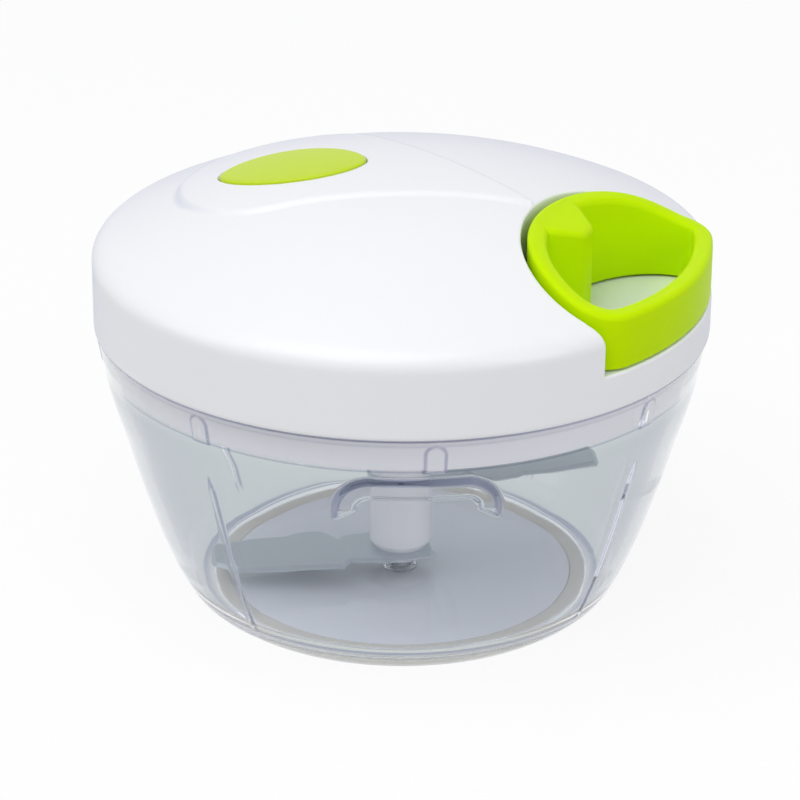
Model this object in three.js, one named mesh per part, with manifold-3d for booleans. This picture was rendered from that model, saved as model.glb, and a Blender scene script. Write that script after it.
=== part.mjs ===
// Pull-cord food chopper: clear bowl, blade set, domed lid with cord drum, and pull ring.
// Millimetres, +Z up. The pull ring leaves the lid along +X, and the foot stands on z = 0.
import * as THREE from 'three';
import { mergeVertices } from 'three/addons/utils/BufferGeometryUtils.js';
import Module from 'manifold-3d';

const wasm = await Module();
wasm.setup();

// Fits shared by all pieces
const seatGap = 0.3;
const runningGap = 0.1;
const cutOverrun = 1;
const weldDistance = 0.0001;
const fineSegments = 52;
const mediumSegments = 28;
const smallSegments = 12;
const bendSteps = 4;
const cornerSteps = 3;

// Bowl
const bowlHeight = 61;
const bowlRimRadius = 63.5;
const bowlBottom = 1.2;
const bowlWall = 2.2;
const bowlFloorTop = 4;
const bowlOuterShares = [
  [0.673, 0],
  [0.709, 0.03],
  [0.75, 0.1],
  [0.799, 0.22],
  [0.857, 0.4],
  [0.918, 0.62],
  [0.971, 0.82],
  [0.98, 0.875],
  [1, 1],
];
const bowlTurnDegrees = -15.3;
const footInset = 2.7;
const footWidth = 10;
const footHeight = 2.2;
const footEdge = 0.4;
const footWeb = 1;
const footOuterRadius = bowlOuterShares[0][0] * bowlRimRadius - footInset;
const footInnerRadius = footOuterRadius - footWidth;
const footRecessDepth = footHeight - bowlBottom + seatGap;

// Ribs, lid keys and finger ledges of the bowl
const ribCount = 4;
const ribWidth = 2.2;
const ribStand = 1;
const ribBottom = 6;
const ribTopDrop = 14;
const ribTop = bowlHeight - ribTopDrop;
const ribPointLength = 5;
const ribShoulder = ribTop - ribPointLength;
const keyCount = 8;
const keyWidth = 4.8;
const keyStand = 0.6;
const keyTopDrop = 0.8;
const keyTop = bowlHeight - keyTopDrop;
const keyLength = 6.7;
const keyBottom = keyTop - keyLength;
const channelWidth = 3.6;
const channelDepth = 1.2;
const channelLength = 7.2;
const channelBottom = bowlHeight - channelLength;
const lugGap = 0.4;
const ledgeCount = 2;
const ledgeWidth = 34;
const ledgeTopDrop = 8.4;
const ledgeTop = bowlHeight - ledgeTopDrop;
const ledgeHeight = 11.6;
const ledgeBottom = ledgeTop - ledgeHeight;
const ledgeBand = 5;
const ledgeCornerRadius = 8;
const ledgeStand = 0.9;
const ledgeTurnDegrees = -48;

// Pin and blade set
const pinRadius = 2;
const pinFloor = 0.6;
const pinBottom = footHeight + pinFloor + 2 * seatGap;
const pinTop = 24;
const pinNose = 0.7;
const pinBossRadius = 4.4;
const pinBossTop = 5.6;
const postBottom = pinBossTop + seatGap;
const postFootRadius = 4.4;
const postRadius = 6.6;
const postChamfer = 1.2;
const postNeckRadius = 5.4;
const postNeckBottom = 31;
const postShoulderDrop = 5.2;
const postShoulderTop = bowlHeight - postShoulderDrop;
const postCoreRadius = 3.4;
const driveCornerRadius = 4.6;
const driveSides = 6;
const driveLength = 10.2;
const driveTop = postShoulderTop + driveLength;
const bladeWallGap = 4.6;
const upperBladeExtra = 2;
const bladeThickness = 0.9;
const bladeHubLip = 0.6;
const bladeHubRadius = postRadius + bladeHubLip;
const lowerBladeBottom = 8.2;
const upperBladeBottom = 25.4;
const bladeTurnDegrees = 23.6;
const bladeOutlineShares = [
  [0.145, 0.15],
  [-0.22, 0.11],
  [-0.3, 0.085],
  [-0.33, 0.045],
  [-0.37, 0.09],
  [-0.42, 0.129],
  [-0.49, 0.124],
  [-0.58, 0.086],
  [-0.61, 0.057],
  [-0.76, 0.03],
  [-0.89, -0.019],
  [-0.98, -0.05],
  [-0.99, -0.08],
  [-0.975, -0.25],
  [-0.95, -0.29],
  [-0.83, -0.345],
  [-0.57, -0.325],
  [-0.33, -0.29],
  [-0.285, -0.295],
  [-0.25, -0.22],
  [-0.05, -0.218],
  [0.165, -0.15],
  [0.187, -0.11],
];

// Lid shell
const lidOverhang = 0.5;
const lidRadius = bowlRimRadius + lidOverhang;
const lidBottom = bowlHeight + seatGap;
const lidWall = 2.2;
const skirtHeight = 14.3;
const skirtTop = lidBottom + skirtHeight;
const shoulderInset = 1.2;
const shoulderRadius = lidRadius - shoulderInset;
const shoulderRise = 2.6;
const shoulderHeight = skirtTop + shoulderRise;
const shoulderBend = 0.4;
const domeRise = 14.3;
const domePower = 2.2;
const domeSteps = 8;
const leafStand = 0.6;
const leafTail = -48;
const leafTip = 27;
const leafHalfWidth = 25.5;
const leafOutlineShares = [
  [0, 0],
  [0.02, 0.37],
  [0.1, 0.76],
  [0.24, 0.99],
  [0.36, 0.99],
  [0.52, 0.72],
  [0.8, 0.3],
  [1, 0.04],
];
const capCentreX = -23.5;
const capCentreY = -3;
const capTurnDegrees = 18;
const capHalfLength = 15.2;
const capHalfWidth = 10.5;
const capTaperPower = 0.58;
const capProud = 0.5;
const capSunk = 0.8;

// Pocket in the lid and the pull ring that lies in it
const pocketHalfWidth = 30.6;
const pocketFloorLift = 7.6;
const pocketFloor = lidBottom + pocketFloorLift;
const pocketWall = 1.8;
const pocketDrumGap = 6.6;
const ringGap = 1.9;
const ringLift = 0.4;
const ringWall = 4;
const ringCornerRadius = 7;
const ringOuterGap = 0.2;
const ringOuterHeight = 10.7;
const ringBottom = pocketFloor + ringLift;
const ringTopOuter = ringBottom + ringOuterHeight;
const ringTopRise = 9.6;
const ringTopShares = [
  [0, 0],
  [0.17, 0.04],
  [0.3, 0.12],
  [0.4, 0.21],
  [0.5, 0.36],
  [0.62, 0.56],
  [0.73, 0.72],
  [0.81, 0.82],
  [0.9, 0.915],
  [1, 1],
];
const ringPostReach = 6.7;
const ringPostHalfWidth = 8.3;
const ringPostShares = [
  [-0.3, -1],
  [0.15, -1],
  [0.9, -0.42],
  [1, -0.25],
  [1, 0.25],
  [0.9, 0.42],
  [0.15, 1],
  [-0.3, 1],
];
const ringStraight = 0.5;
const ringCurveSteps = 10;
const pocketCurveSteps = 20;

// Lid base, seal and lid screws
const baseLift = 0.9;
const baseBottom = lidBottom + baseLift;
const baseThickness = 2;
const baseTop = baseBottom + baseThickness;
const baseSideGap = 0.3;
const collarDepth = 8.8;
const collarBottom = baseBottom - collarDepth;
const collarThickness = 2;
const collarGap = 0.35;
const sealGrooveDepth = 2.25;
const sealGrooveBottom = baseBottom - sealGrooveDepth;
const sealThickness = 1.9;
const sealHeight = 1.6;
const screwInset = 18;
const screwPitchRadius = lidRadius - screwInset;
const lidScrewDegrees = [75, 150, 210, 285];
const lidBossRadius = 3.5;
const screwShankRadius = 1.4;
const screwHeadRadius = 3;
const screwHeadHeight = 1.7;
const screwSlotShare = 0.5;
const screwRoundShare = 0.33;
const screwPointShare = 0.33;
const lidScrewLength = 10;

// Cord and drum
const cordRadius = 0.9;
const cordTurns = 4.4;
const cordPitch = 2.32;
const cordSides = 6;
const cordStepsPerTurn = 24;
const windingRadius = 16.9;
const drumBaseGap = 0.5;
const drumBottom = baseTop + drumBaseGap;
const flangeThickness = 1.5;
const flangeRadius = 20;
const coreWall = 1.7;
const coreRadius = windingRadius - cordRadius - seatGap;
const windingBottom = drumBottom + flangeThickness + seatGap + cordRadius;
const cordHeight = windingBottom + cordTurns * cordPitch;
const drumTop = cordHeight + cordRadius + seatGap + flangeThickness;
const hubRadius = 7;
const hubLength = 5.7;
const hubBottom = baseBottom - hubLength;
const arborRadius = 4;
const knotRadius = 2.7;
const drumKnotRadius = 1.8;

// Drive bush in the lid base
const bushWall = 1.6;
const bushFlangeRadius = 10.6;
const bushFlangeThickness = 1;

// Spring case under the dome
const caseDrumGap = 0.4;
const caseBottom = drumTop + caseDrumGap;
const caseCoverThickness = 1;
const springHeight = 4.4;
const caseTopThickness = 1.2;
const caseOuterRadius = 18.8;
const caseWall = 1.6;
const caseTop = caseBottom + caseCoverThickness + seatGap + springHeight + seatGap + caseTopThickness;
const earReach = 3.8;
const earPitchRadius = caseOuterRadius + earReach;
const earRadius = 3.2;
const earThickness = 1.5;
const earDegrees = [60, 180, 300];
const earLift = 2;
const earBottom = caseBottom + earLift;
const caseScrewShankRadius = 1;
const caseScrewHeadRadius = 2.2;
const caseScrewHeadHeight = 1.2;
const caseScrewLength = 6;
const springThickness = 0.6;
const springPitch = 1.6;
const springStepsPerTurn = 14;
const washerRadius = 6;
const washerThickness = 0.6;
const arborScrewHeadHeight = 0.9;
const arborScrewHeadRadius = 3.2;
const arborScrewLength = 7;

// Cord outlet
const outletBarrelRadius = 2.6;
const outletFlangeRadius = 3.6;
const outletFlangeThickness = 0.8;
const outletHoleRadius = 1.5;

// Derived places of the ring
const ringOuterRadius = lidRadius - ringOuterGap;
const ringHalfWidth = pocketHalfWidth - ringGap;
const ringCornerY = ringHalfWidth - ringCornerRadius;
const ringCornerX = Math.sqrt((ringOuterRadius - ringCornerRadius) ** 2 - ringCornerY ** 2);
const pocketCentreX = ringCornerX - ringStraight;
const pocketTipX = flangeRadius + pocketDrumGap + pocketWall;
const pocketDepth = pocketCentreX - pocketTipX;
const ringDepth = pocketDepth - ringGap;
const ringTipX = pocketCentreX - ringDepth;
const ringPostX = ringTipX + ringWall;

// Colours and finishes
const colours = {
  clear: new THREE.MeshStandardMaterial({
    color: 0xdfe4ee, roughness: 0.08, metalness: 0, transparent: true, opacity: 0.35,
  }),
  white: new THREE.MeshStandardMaterial({ color: 0xf4f4f7, roughness: 0.35, metalness: 0 }),
  lime: new THREE.MeshStandardMaterial({ color: 0xa8dc12, roughness: 0.32, metalness: 0 }),
  ivory: new THREE.MeshStandardMaterial({ color: 0xdcd8cc, roughness: 0.7, metalness: 0 }),
  seal: new THREE.MeshStandardMaterial({ color: 0xe6e6ea, roughness: 0.7, metalness: 0 }),
  steel: new THREE.MeshStandardMaterial({ color: 0xb4b8bc, roughness: 0.3, metalness: 1 }),
  spring: new THREE.MeshStandardMaterial({ color: 0x8c9096, roughness: 0.35, metalness: 1 }),
  cord: new THREE.MeshStandardMaterial({ color: 0xf0f0ec, roughness: 0.9, metalness: 0 }),
  acetal: new THREE.MeshStandardMaterial({ color: 0xd8dade, roughness: 0.45, metalness: 0 }),
};

// Turning three.js geometry into solids, and solids back into meshes

/** Signed volume of a triangle list, used to turn inside-out shapes the right way. */
function signedVolume(points, triangles) {
  let sum = 0;
  const a = new THREE.Vector3();
  const b = new THREE.Vector3();
  const c = new THREE.Vector3();
  for (let i = 0; i < triangles.length; i += 3) {
    a.fromArray(points, 3 * triangles[i]);
    b.fromArray(points, 3 * triangles[i + 1]);
    c.fromArray(points, 3 * triangles[i + 2]);
    sum += a.dot(b.cross(c));
  }
  return sum / 6;
}

/** Closed three.js geometry as a manifold solid. */
function solidOf(geometry) {
  const bare = new THREE.BufferGeometry();
  bare.setAttribute('position', geometry.getAttribute('position'));
  bare.setIndex(geometry.getIndex());
  const merged = mergeVertices(bare, weldDistance);
  const points = merged.getAttribute('position').array;
  const index = merged.getIndex().array;
  const triangles = [];
  for (let i = 0; i < index.length; i += 3) {
    const [a, b, c] = [index[i], index[i + 1], index[i + 2]];
    if (a !== b && b !== c && c !== a) triangles.push(a, b, c);
  }
  if (signedVolume(points, triangles) < 0) triangles.reverse();
  return new wasm.Manifold(new wasm.Mesh({
    numProp: 3,
    vertProperties: new Float32Array(points),
    triVerts: new Uint32Array(triangles),
  }));
}

/** Named mesh of a manifold solid. */
function meshOf(name, solid, material) {
  const data = solid.getMesh();
  const geometry = new THREE.BufferGeometry();
  geometry.setAttribute('position', new THREE.BufferAttribute(data.vertProperties, 3));
  geometry.setIndex(new THREE.BufferAttribute(data.triVerts, 1));
  geometry.computeVertexNormals();
  const mesh = new THREE.Mesh(geometry, material);
  mesh.name = name;
  return mesh;
}

/** Solid turned about Z from a profile of [radius, height] pairs that is closed or ends on the axis. */
function turned(profile, segments) {
  const points = profile.map(([radius, height]) => new THREE.Vector2(radius, height));
  return solidOf(new THREE.LatheGeometry(points, segments).rotateX(Math.PI / 2));
}

/** Upright cylinder between two heights. */
function cylinder(radius, bottom, top, segments = mediumSegments) {
  return turned([[0, bottom], [radius, bottom], [radius, top], [0, top]], segments);
}

/** Upright ring between two heights. */
function tube(outer, inner, bottom, top, segments = mediumSegments) {
  return turned([[inner, bottom], [outer, bottom], [outer, top], [inner, top], [inner, bottom]], segments);
}

/** Upright prism of a plan outline given as Vector2 points. */
function prism(outline, bottom, top) {
  const shape = new THREE.Shape(outline);
  const geometry = new THREE.ExtrudeGeometry(shape, { depth: top - bottom, bevelEnabled: false });
  return solidOf(geometry.translate(0, 0, bottom));
}

/** Prism of an outline in the plane across a radius: x along the tangent, y upwards. */
function radialPrism(outline, innerRadius, outerRadius, degrees) {
  const shape = new THREE.Shape(outline);
  const geometry = new THREE.ExtrudeGeometry(shape, {
    depth: outerRadius - innerRadius, bevelEnabled: false,
  });
  geometry.translate(0, 0, innerRadius);
  geometry.rotateX(Math.PI / 2);
  geometry.rotateZ(Math.PI);
  geometry.rotateZ(THREE.MathUtils.degToRad(degrees - 90));
  return solidOf(geometry);
}

/** Solid moved to a pitch radius at an angle. */
function atAngle(solid, radius, degrees) {
  const angle = THREE.MathUtils.degToRad(degrees);
  return solid.translate([radius * Math.cos(angle), radius * Math.sin(angle), 0]);
}

/** Interpolated radius of a rising list of [radius, height] pairs. */
function radiusAt(profile, height) {
  const above = profile.findIndex((pair) => pair[1] >= height);
  if (above <= 0) return profile[above < 0 ? profile.length - 1 : 0][0];
  const [lowRadius, low] = profile[above - 1];
  const [highRadius, high] = profile[above];
  return lowRadius + ((highRadius - lowRadius) * (height - low)) / (high - low);
}

// Bowl

const bowlOuter = bowlOuterShares.map(([radiusShare, heightShare]) => [
  radiusShare * bowlRimRadius,
  bowlBottom + heightShare * (bowlHeight - bowlBottom),
]);

/** Outer radius of the bowl at a height. */
const bowlOuterAt = (height) => radiusAt(bowlOuter, height);

/** Inner radius of the bowl at a height. */
const bowlInnerAt = (height) => bowlOuterAt(height) - bowlWall;

/** Closed band that follows the bowl's outer wall between two offsets and two heights. */
function wallBand(innerOffset, outerOffset, bottom, top) {
  const heights = bowlOuter.map((pair) => pair[1]).filter((height) => height > bottom && height < top);
  const levels = [bottom, ...heights, top];
  const outward = levels.map((height) => [bowlOuterAt(height) + outerOffset, height]);
  const inward = levels.map((height) => [bowlOuterAt(height) + innerOffset, height]).reverse();
  return turned([...outward, ...inward, outward[0]], fineSegments);
}

/** Outline of an upright tab with a half-round top. */
function roundTopTab(width, bottom, top) {
  const radius = width / 2;
  const shape = new THREE.Shape();
  shape.moveTo(-radius, bottom);
  shape.lineTo(radius, bottom);
  shape.lineTo(radius, top - radius);
  shape.absarc(0, top - radius, radius, 0, Math.PI, false);
  return shape.getPoints(bendSteps);
}

/** Outline of the finger ledge: a band that runs over the top and fades down both sides. */
function ledgeOutline() {
  const half = ledgeWidth / 2;
  const outer = ledgeCornerRadius;
  const inner = ledgeCornerRadius - ledgeBand;
  const shape = new THREE.Shape();
  shape.moveTo(half, ledgeBottom);
  shape.lineTo(half, ledgeTop - outer);
  shape.absarc(half - outer, ledgeTop - outer, outer, 0, Math.PI / 2, false);
  shape.lineTo(outer - half, ledgeTop);
  shape.absarc(outer - half, ledgeTop - outer, outer, Math.PI / 2, Math.PI, false);
  shape.lineTo(-half, ledgeBottom);
  shape.lineTo(ledgeBand - half, ledgeTop - outer);
  shape.absarc(outer - half, ledgeTop - outer, inner, Math.PI, Math.PI / 2, true);
  shape.lineTo(half - outer, ledgeTop - ledgeBand);
  shape.absarc(half - outer, ledgeTop - outer, inner, Math.PI / 2, 0, true);
  return shape.getPoints(bendSteps);
}

/** Clear bowl with pin boss, ribs, channels for the lid's lugs, finger ledges and a recess for the foot. */
function makeBowl() {
  const innerLevels = bowlOuter.filter((pair) => pair[1] > bowlFloorTop).map((pair) => pair[1]);
  const inward = innerLevels.map((height) => [bowlInnerAt(height), height]).reverse();
  let bowl = turned([
    [0, bowlBottom], ...bowlOuter, ...inward,
    [bowlInnerAt(bowlFloorTop) - bowlWall, bowlFloorTop], [0, bowlFloorTop],
  ], fineSegments);

  bowl = bowl.add(cylinder(pinBossRadius, bowlFloorTop - bowlWall / 2, pinBossTop, mediumSegments));
  bowl = bowl.subtract(
    cylinder(pinRadius + seatGap, pinBottom - seatGap, pinBossTop + cutOverrun, smallSegments),
  );

  const ribBand = wallBand(-bowlWall / 2, ribStand, ribBottom, ribTop);
  const ribShape = [
    new THREE.Vector2(-ribWidth / 2, ribBottom - cutOverrun),
    new THREE.Vector2(ribWidth / 2, ribBottom - cutOverrun),
    new THREE.Vector2(ribWidth / 2, ribShoulder),
    new THREE.Vector2(0, ribTop),
    new THREE.Vector2(-ribWidth / 2, ribShoulder),
  ];
  for (let i = 0; i < ribCount; i += 1) {
    const degrees = bowlTurnDegrees + (360 / ribCount) * i;
    const rib = radialPrism(ribShape, bowlRimRadius / 2, lidRadius, degrees);
    bowl = bowl.add(ribBand.intersect(rib));
  }

  const keyBand = wallBand(-bowlWall / 4, keyStand, keyBottom, keyTop);
  const channelBand = wallBand(
    -bowlWall - cutOverrun, channelDepth - bowlWall, channelBottom, bowlHeight + cutOverrun,
  );
  const channelTop = bowlHeight + channelWidth + cutOverrun;
  for (let i = 0; i < keyCount; i += 1) {
    const degrees = bowlTurnDegrees + (360 / keyCount) * i;
    const key = radialPrism(roundTopTab(keyWidth, keyBottom, keyTop), bowlRimRadius / 2, lidRadius, degrees);
    const channel = radialPrism(
      roundTopTab(channelWidth, channelBottom, channelTop), bowlRimRadius / 2, lidRadius, degrees,
    );
    bowl = bowl.add(keyBand.intersect(key)).subtract(channelBand.intersect(channel));
  }

  const ledgeBandSolid = wallBand(-bowlWall / 2, ledgeStand, ledgeBottom, ledgeTop);
  for (let i = 0; i < ledgeCount; i += 1) {
    const degrees = bowlTurnDegrees + ledgeTurnDegrees + (360 / ledgeCount) * i;
    const ledge = radialPrism(ledgeOutline(), bowlRimRadius / 2, lidRadius, degrees);
    bowl = bowl.add(ledgeBandSolid.intersect(ledge));
  }

  return bowl.subtract(cylinder(
    footOuterRadius + seatGap, bowlBottom - cutOverrun, bowlBottom + footRecessDepth, fineSegments,
  ));
}

/** Soft disc under the bowl that keeps it from sliding: a ring to stand on, closed by a thin web. */
function makeFoot() {
  return turned([
    [0, footHeight - footWeb], [footInnerRadius, footHeight - footWeb], [footInnerRadius, footEdge],
    [footInnerRadius + footEdge, 0], [footOuterRadius - footEdge, 0], [footOuterRadius, footEdge],
    [footOuterRadius, footHeight], [0, footHeight],
  ], fineSegments);
}

/** Steel pin that the blade post turns on. */
function makePin() {
  return turned([
    [0, pinBottom], [pinRadius, pinBottom], [pinRadius, pinTop - pinNose],
    [pinRadius - pinNose, pinTop], [0, pinTop],
  ], smallSegments);
}

// Blade set

const lowerBladeReach = bowlInnerAt(lowerBladeBottom) - bladeWallGap;
const upperBladeReach = lowerBladeReach + upperBladeExtra;

/** Blade with a given reach and a round middle, grown outwards by a distance. */
function bladePlate(reach, grow, bottom, top) {
  const points = bladeOutlineShares.map(([x, y]) => new THREE.Vector2(x * reach, y * reach));
  const outline = points.map((point, i) => {
    const before = points[(i + points.length - 1) % points.length];
    const after = points[(i + 1) % points.length];
    const along = new THREE.Vector2(after.x - before.x, after.y - before.y).normalize();
    return new THREE.Vector2(point.x + along.y * grow, point.y - along.x * grow);
  });
  return prism(outline, bottom, top).add(cylinder(bladeHubRadius + grow, bottom, top, smallSegments));
}

/** One flat blade with an eye round the post's core. */
function makeBlade(bottom, reach, turn) {
  const top = bottom + bladeThickness;
  const body = bladePlate(reach, 0, bottom, top);
  const eye = cylinder(postCoreRadius + seatGap, bottom - cutOverrun, top + cutOverrun, smallSegments);
  return body.subtract(eye).rotate([0, 0, bladeTurnDegrees + turn]);
}

/** Space that a blade needs in the post, with a clearance all round. */
function bladeSlot(bottom, reach, turn) {
  const top = bottom + bladeThickness;
  const body = bladePlate(reach, seatGap, bottom - seatGap, top + seatGap);
  const core = cylinder(postCoreRadius, bottom - cutOverrun, top + cutOverrun, smallSegments);
  return body.subtract(core).rotate([0, 0, bladeTurnDegrees + turn]);
}

/** Moulded post with a bore for the pin, slots round both blades and a six-sided drive end. */
function makePost() {
  let post = turned([
    [0, postBottom], [postFootRadius, postBottom], [postFootRadius, lowerBladeBottom],
    [postRadius - postChamfer, lowerBladeBottom],
    [postRadius - postChamfer, lowerBladeBottom + bladeThickness],
    [postRadius, lowerBladeBottom + bladeThickness + postChamfer], [postRadius, postNeckBottom],
    [postNeckRadius, postNeckBottom + postChamfer], [postNeckRadius, postShoulderTop], [0, postShoulderTop],
  ], mediumSegments);
  post = post.add(cylinder(driveCornerRadius, postShoulderTop - cutOverrun, driveTop, driveSides));
  post = post.subtract(
    cylinder(pinRadius + runningGap, postBottom - cutOverrun, pinTop + seatGap, smallSegments),
  );
  post = post.subtract(bladeSlot(lowerBladeBottom, lowerBladeReach, 0));
  return post.subtract(bladeSlot(upperBladeBottom, upperBladeReach, 180));
}

// Lid shell

/** Height of the dome's outer face at a radius, with an offset outwards. */
function domeHeight(radius, offset = 0) {
  const share = Math.min(radius / shoulderRadius, 1);
  return shoulderHeight + offset + domeRise * (1 - share ** domePower);
}

/** Solid of the lid's outer form down to a height, moved outwards by an offset. */
function domeSolid(bottom, offset, sideOffset = offset) {
  const profile = [[0, bottom], [lidRadius + sideOffset, bottom], [lidRadius + sideOffset, skirtTop]];
  profile.push([lidRadius + sideOffset - shoulderBend, (skirtTop + shoulderHeight + offset) / 2]);
  for (let i = 0; i <= domeSteps; i += 1) {
    const radius = (shoulderRadius + sideOffset) * Math.sin(((1 - i / domeSteps) * Math.PI) / 2);
    profile.push([radius, domeHeight((radius * shoulderRadius) / (shoulderRadius + sideOffset), offset)]);
  }
  return turned(profile, fineSegments);
}

/** Plan outline of the leaf-shaped rise on the lid's top. */
function leafOutline() {
  const length = leafTip - leafTail;
  const side = leafOutlineShares.map(([along, across]) => new THREE.Vector2(
    leafTail + along * length, across * leafHalfWidth,
  ));
  const upper = new THREE.SplineCurve(side).getPoints(cornerSteps * side.length);
  const lower = upper.slice(1).reverse().map((point) => new THREE.Vector2(point.x, -point.y));
  return [...upper, ...lower];
}

/** Plan outline of the oval cap, grown by a distance. */
function capOutline(grow) {
  const centre = new THREE.Vector2(capCentreX, capCentreY);
  const turn = THREE.MathUtils.degToRad(capTurnDegrees);
  return Array.from({ length: mediumSegments }, (unused, i) => {
    const angle = (2 * Math.PI * i) / mediumSegments;
    const across = Math.sign(Math.sin(angle)) * Math.abs(Math.sin(angle)) ** (2 * capTaperPower);
    const point = new THREE.Vector2(
      capCentreX + (capHalfLength + grow) * Math.cos(angle),
      capCentreY + (capHalfWidth + grow) * across,
    );
    return point.rotateAround(centre, turn);
  });
}

/** Plan outline of the pocket, grown by a distance, running out past the lid's side. */
function pocketOutline(grow) {
  const bend = new THREE.EllipseCurve(
    pocketCentreX, 0, pocketDepth + grow, pocketHalfWidth + grow, Math.PI / 2, (3 * Math.PI) / 2, false, 0,
  ).getPoints(pocketCurveSteps);
  const farX = lidRadius + pocketWall + cutOverrun;
  return [
    ...bend,
    new THREE.Vector2(farX, -pocketHalfWidth - grow),
    new THREE.Vector2(farX, pocketHalfWidth + grow),
  ];
}

/** White domed shell with the pocket, leaf-shaped rise, cap seat, outlet hole and screw bosses. */
function makeShell() {
  const outerForm = domeSolid(lidBottom, 0);
  let shell = outerForm.subtract(domeSolid(lidBottom - cutOverrun, -lidWall));
  const leaf = prism(leafOutline(), skirtTop, domeHeight(0) + lidWall);
  const leafForm = domeSolid(skirtTop, leafStand).subtract(domeSolid(lidBottom, -lidWall / 2));
  shell = shell.add(leaf.intersect(leafForm));

  const pocketBlock = prism(pocketOutline(pocketWall), pocketFloor - pocketWall, domeHeight(0));
  shell = shell.add(pocketBlock.intersect(outerForm));
  shell = shell.subtract(prism(pocketOutline(0), pocketFloor, domeHeight(0) + lidWall));

  const seat = prism(capOutline(seatGap), skirtTop, domeHeight(0) + lidWall);
  shell = shell.subtract(seat.subtract(domeSolid(lidBottom, leafStand - capSunk - seatGap, 0)));

  const outlet = cylinder(
    outletBarrelRadius + seatGap, -lidWall - cutOverrun, lidWall + cutOverrun, smallSegments,
  );
  shell = shell.subtract(outlet.rotate([0, 90, 0]).translate([pocketTipX - pocketWall / 2, 0, cordHeight]));

  const underDome = domeSolid(lidBottom, -lidWall / 2);
  for (const degrees of lidScrewDegrees) {
    const boss = cylinder(lidBossRadius, baseTop + seatGap, domeHeight(0), smallSegments);
    const hole = cylinder(
      screwShankRadius + seatGap, baseTop - cutOverrun, baseTop + lidScrewLength, smallSegments,
    );
    shell = shell.add(atAngle(boss, screwPitchRadius, degrees).intersect(underDome));
    shell = shell.subtract(atAngle(hole, screwPitchRadius, degrees));
  }
  for (const degrees of earDegrees) {
    const foot = earBottom + earThickness + seatGap;
    const boss = cylinder(earRadius, foot, domeHeight(0), smallSegments);
    const hole = cylinder(
      caseScrewShankRadius + seatGap, foot - cutOverrun,
      earBottom - seatGap + caseScrewLength + seatGap, smallSegments,
    );
    shell = shell.add(atAngle(boss, earPitchRadius, degrees).intersect(underDome));
    shell = shell.subtract(atAngle(hole, earPitchRadius, degrees));
  }
  return shell;
}

/** Plain oval cap let into the dome. */
function makeCap() {
  const block = prism(capOutline(0), skirtTop, domeHeight(0) + lidWall);
  return block
    .intersect(domeSolid(skirtTop, leafStand + capProud))
    .subtract(domeSolid(lidBottom, leafStand - capSunk, 0));
}

// Lid base and seal

/** Outer radius of the lid base's collar at a height. */
const collarOuterAt = (height) => bowlInnerAt(height) - collarGap;

/** White plate that closes the lid, with the collar that drops into the bowl. */
function makeBase() {
  const plateRadius = lidRadius - lidWall - baseSideGap;
  const grooveRadius = bowlInnerAt(bowlHeight) - collarGap - sealThickness - seatGap;
  let base = turned([
    [0, baseBottom], [grooveRadius - collarThickness, baseBottom],
    [collarOuterAt(collarBottom) - collarThickness, collarBottom],
    [collarOuterAt(collarBottom), collarBottom],
    [collarOuterAt(sealGrooveBottom - seatGap), sealGrooveBottom - seatGap],
    [grooveRadius, sealGrooveBottom - seatGap],
    [grooveRadius, baseBottom], [plateRadius, baseBottom], [plateRadius, baseTop], [0, baseTop],
  ], fineSegments);
  const lugBottom = channelBottom + lugGap;
  const lugTop = sealGrooveBottom - seatGap;
  const lugBand = wallBand(
    -bowlWall - collarGap - collarThickness / 2, channelDepth - bowlWall - lugGap, lugBottom, lugTop,
  );
  for (let i = 0; i < keyCount; i += 1) {
    const lug = radialPrism(
      roundTopTab(channelWidth - 2 * lugGap, lugBottom, lugTop), bowlRimRadius / 2, lidRadius,
      bowlTurnDegrees + (360 / keyCount) * i,
    );
    base = base.add(lugBand.intersect(lug));
  }
  const cutBottom = baseBottom - cutOverrun;
  const cutTop = baseTop + cutOverrun;
  const bushSeat = hubRadius + runningGap + bushWall + seatGap;
  base = base.subtract(cylinder(bushSeat, cutBottom, cutTop, mediumSegments));
  const hole = cylinder(screwShankRadius + seatGap, cutBottom, cutTop, smallSegments);
  for (const degrees of lidScrewDegrees) {
    base = base.subtract(atAngle(hole, screwPitchRadius, degrees));
  }
  return base;
}

/** Soft ring in the groove above the collar. */
function makeSeal() {
  const outer = bowlInnerAt(sealGrooveBottom) - seatGap;
  const inner = bowlInnerAt(bowlHeight) - collarGap - sealThickness;
  return tube(outer, inner, sealGrooveBottom, sealGrooveBottom + sealHeight, fineSegments);
}

/** Pan-head screw pointing up, with its head under a face. */
function makeScrew(faceHeight, headRadius, headHeight, shankRadius, length) {
  const bottom = faceHeight - seatGap - headHeight;
  const slotWidth = headHeight * screwSlotShare;
  const round = headHeight * screwRoundShare;
  const screw = turned([
    [0, bottom], [headRadius - round, bottom],
    [headRadius, bottom + round], [headRadius, bottom + headHeight],
    [shankRadius, bottom + headHeight], [shankRadius, faceHeight + length - shankRadius],
    [shankRadius * screwPointShare, faceHeight + length], [0, faceHeight + length],
  ], smallSegments);
  const slot = solidOf(new THREE.BoxGeometry(headRadius, slotWidth, headHeight).translate(0, 0, bottom));
  return screw.subtract(slot);
}

// Drum, cord and spring

// Where the cord's straight run turns into the outlet, and the angle at which it leaves the drum
const outletApproachX = pocketTipX - pocketWall - outletBarrelRadius;
const leaveAngle = -Math.acos(windingRadius / outletApproachX);

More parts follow.
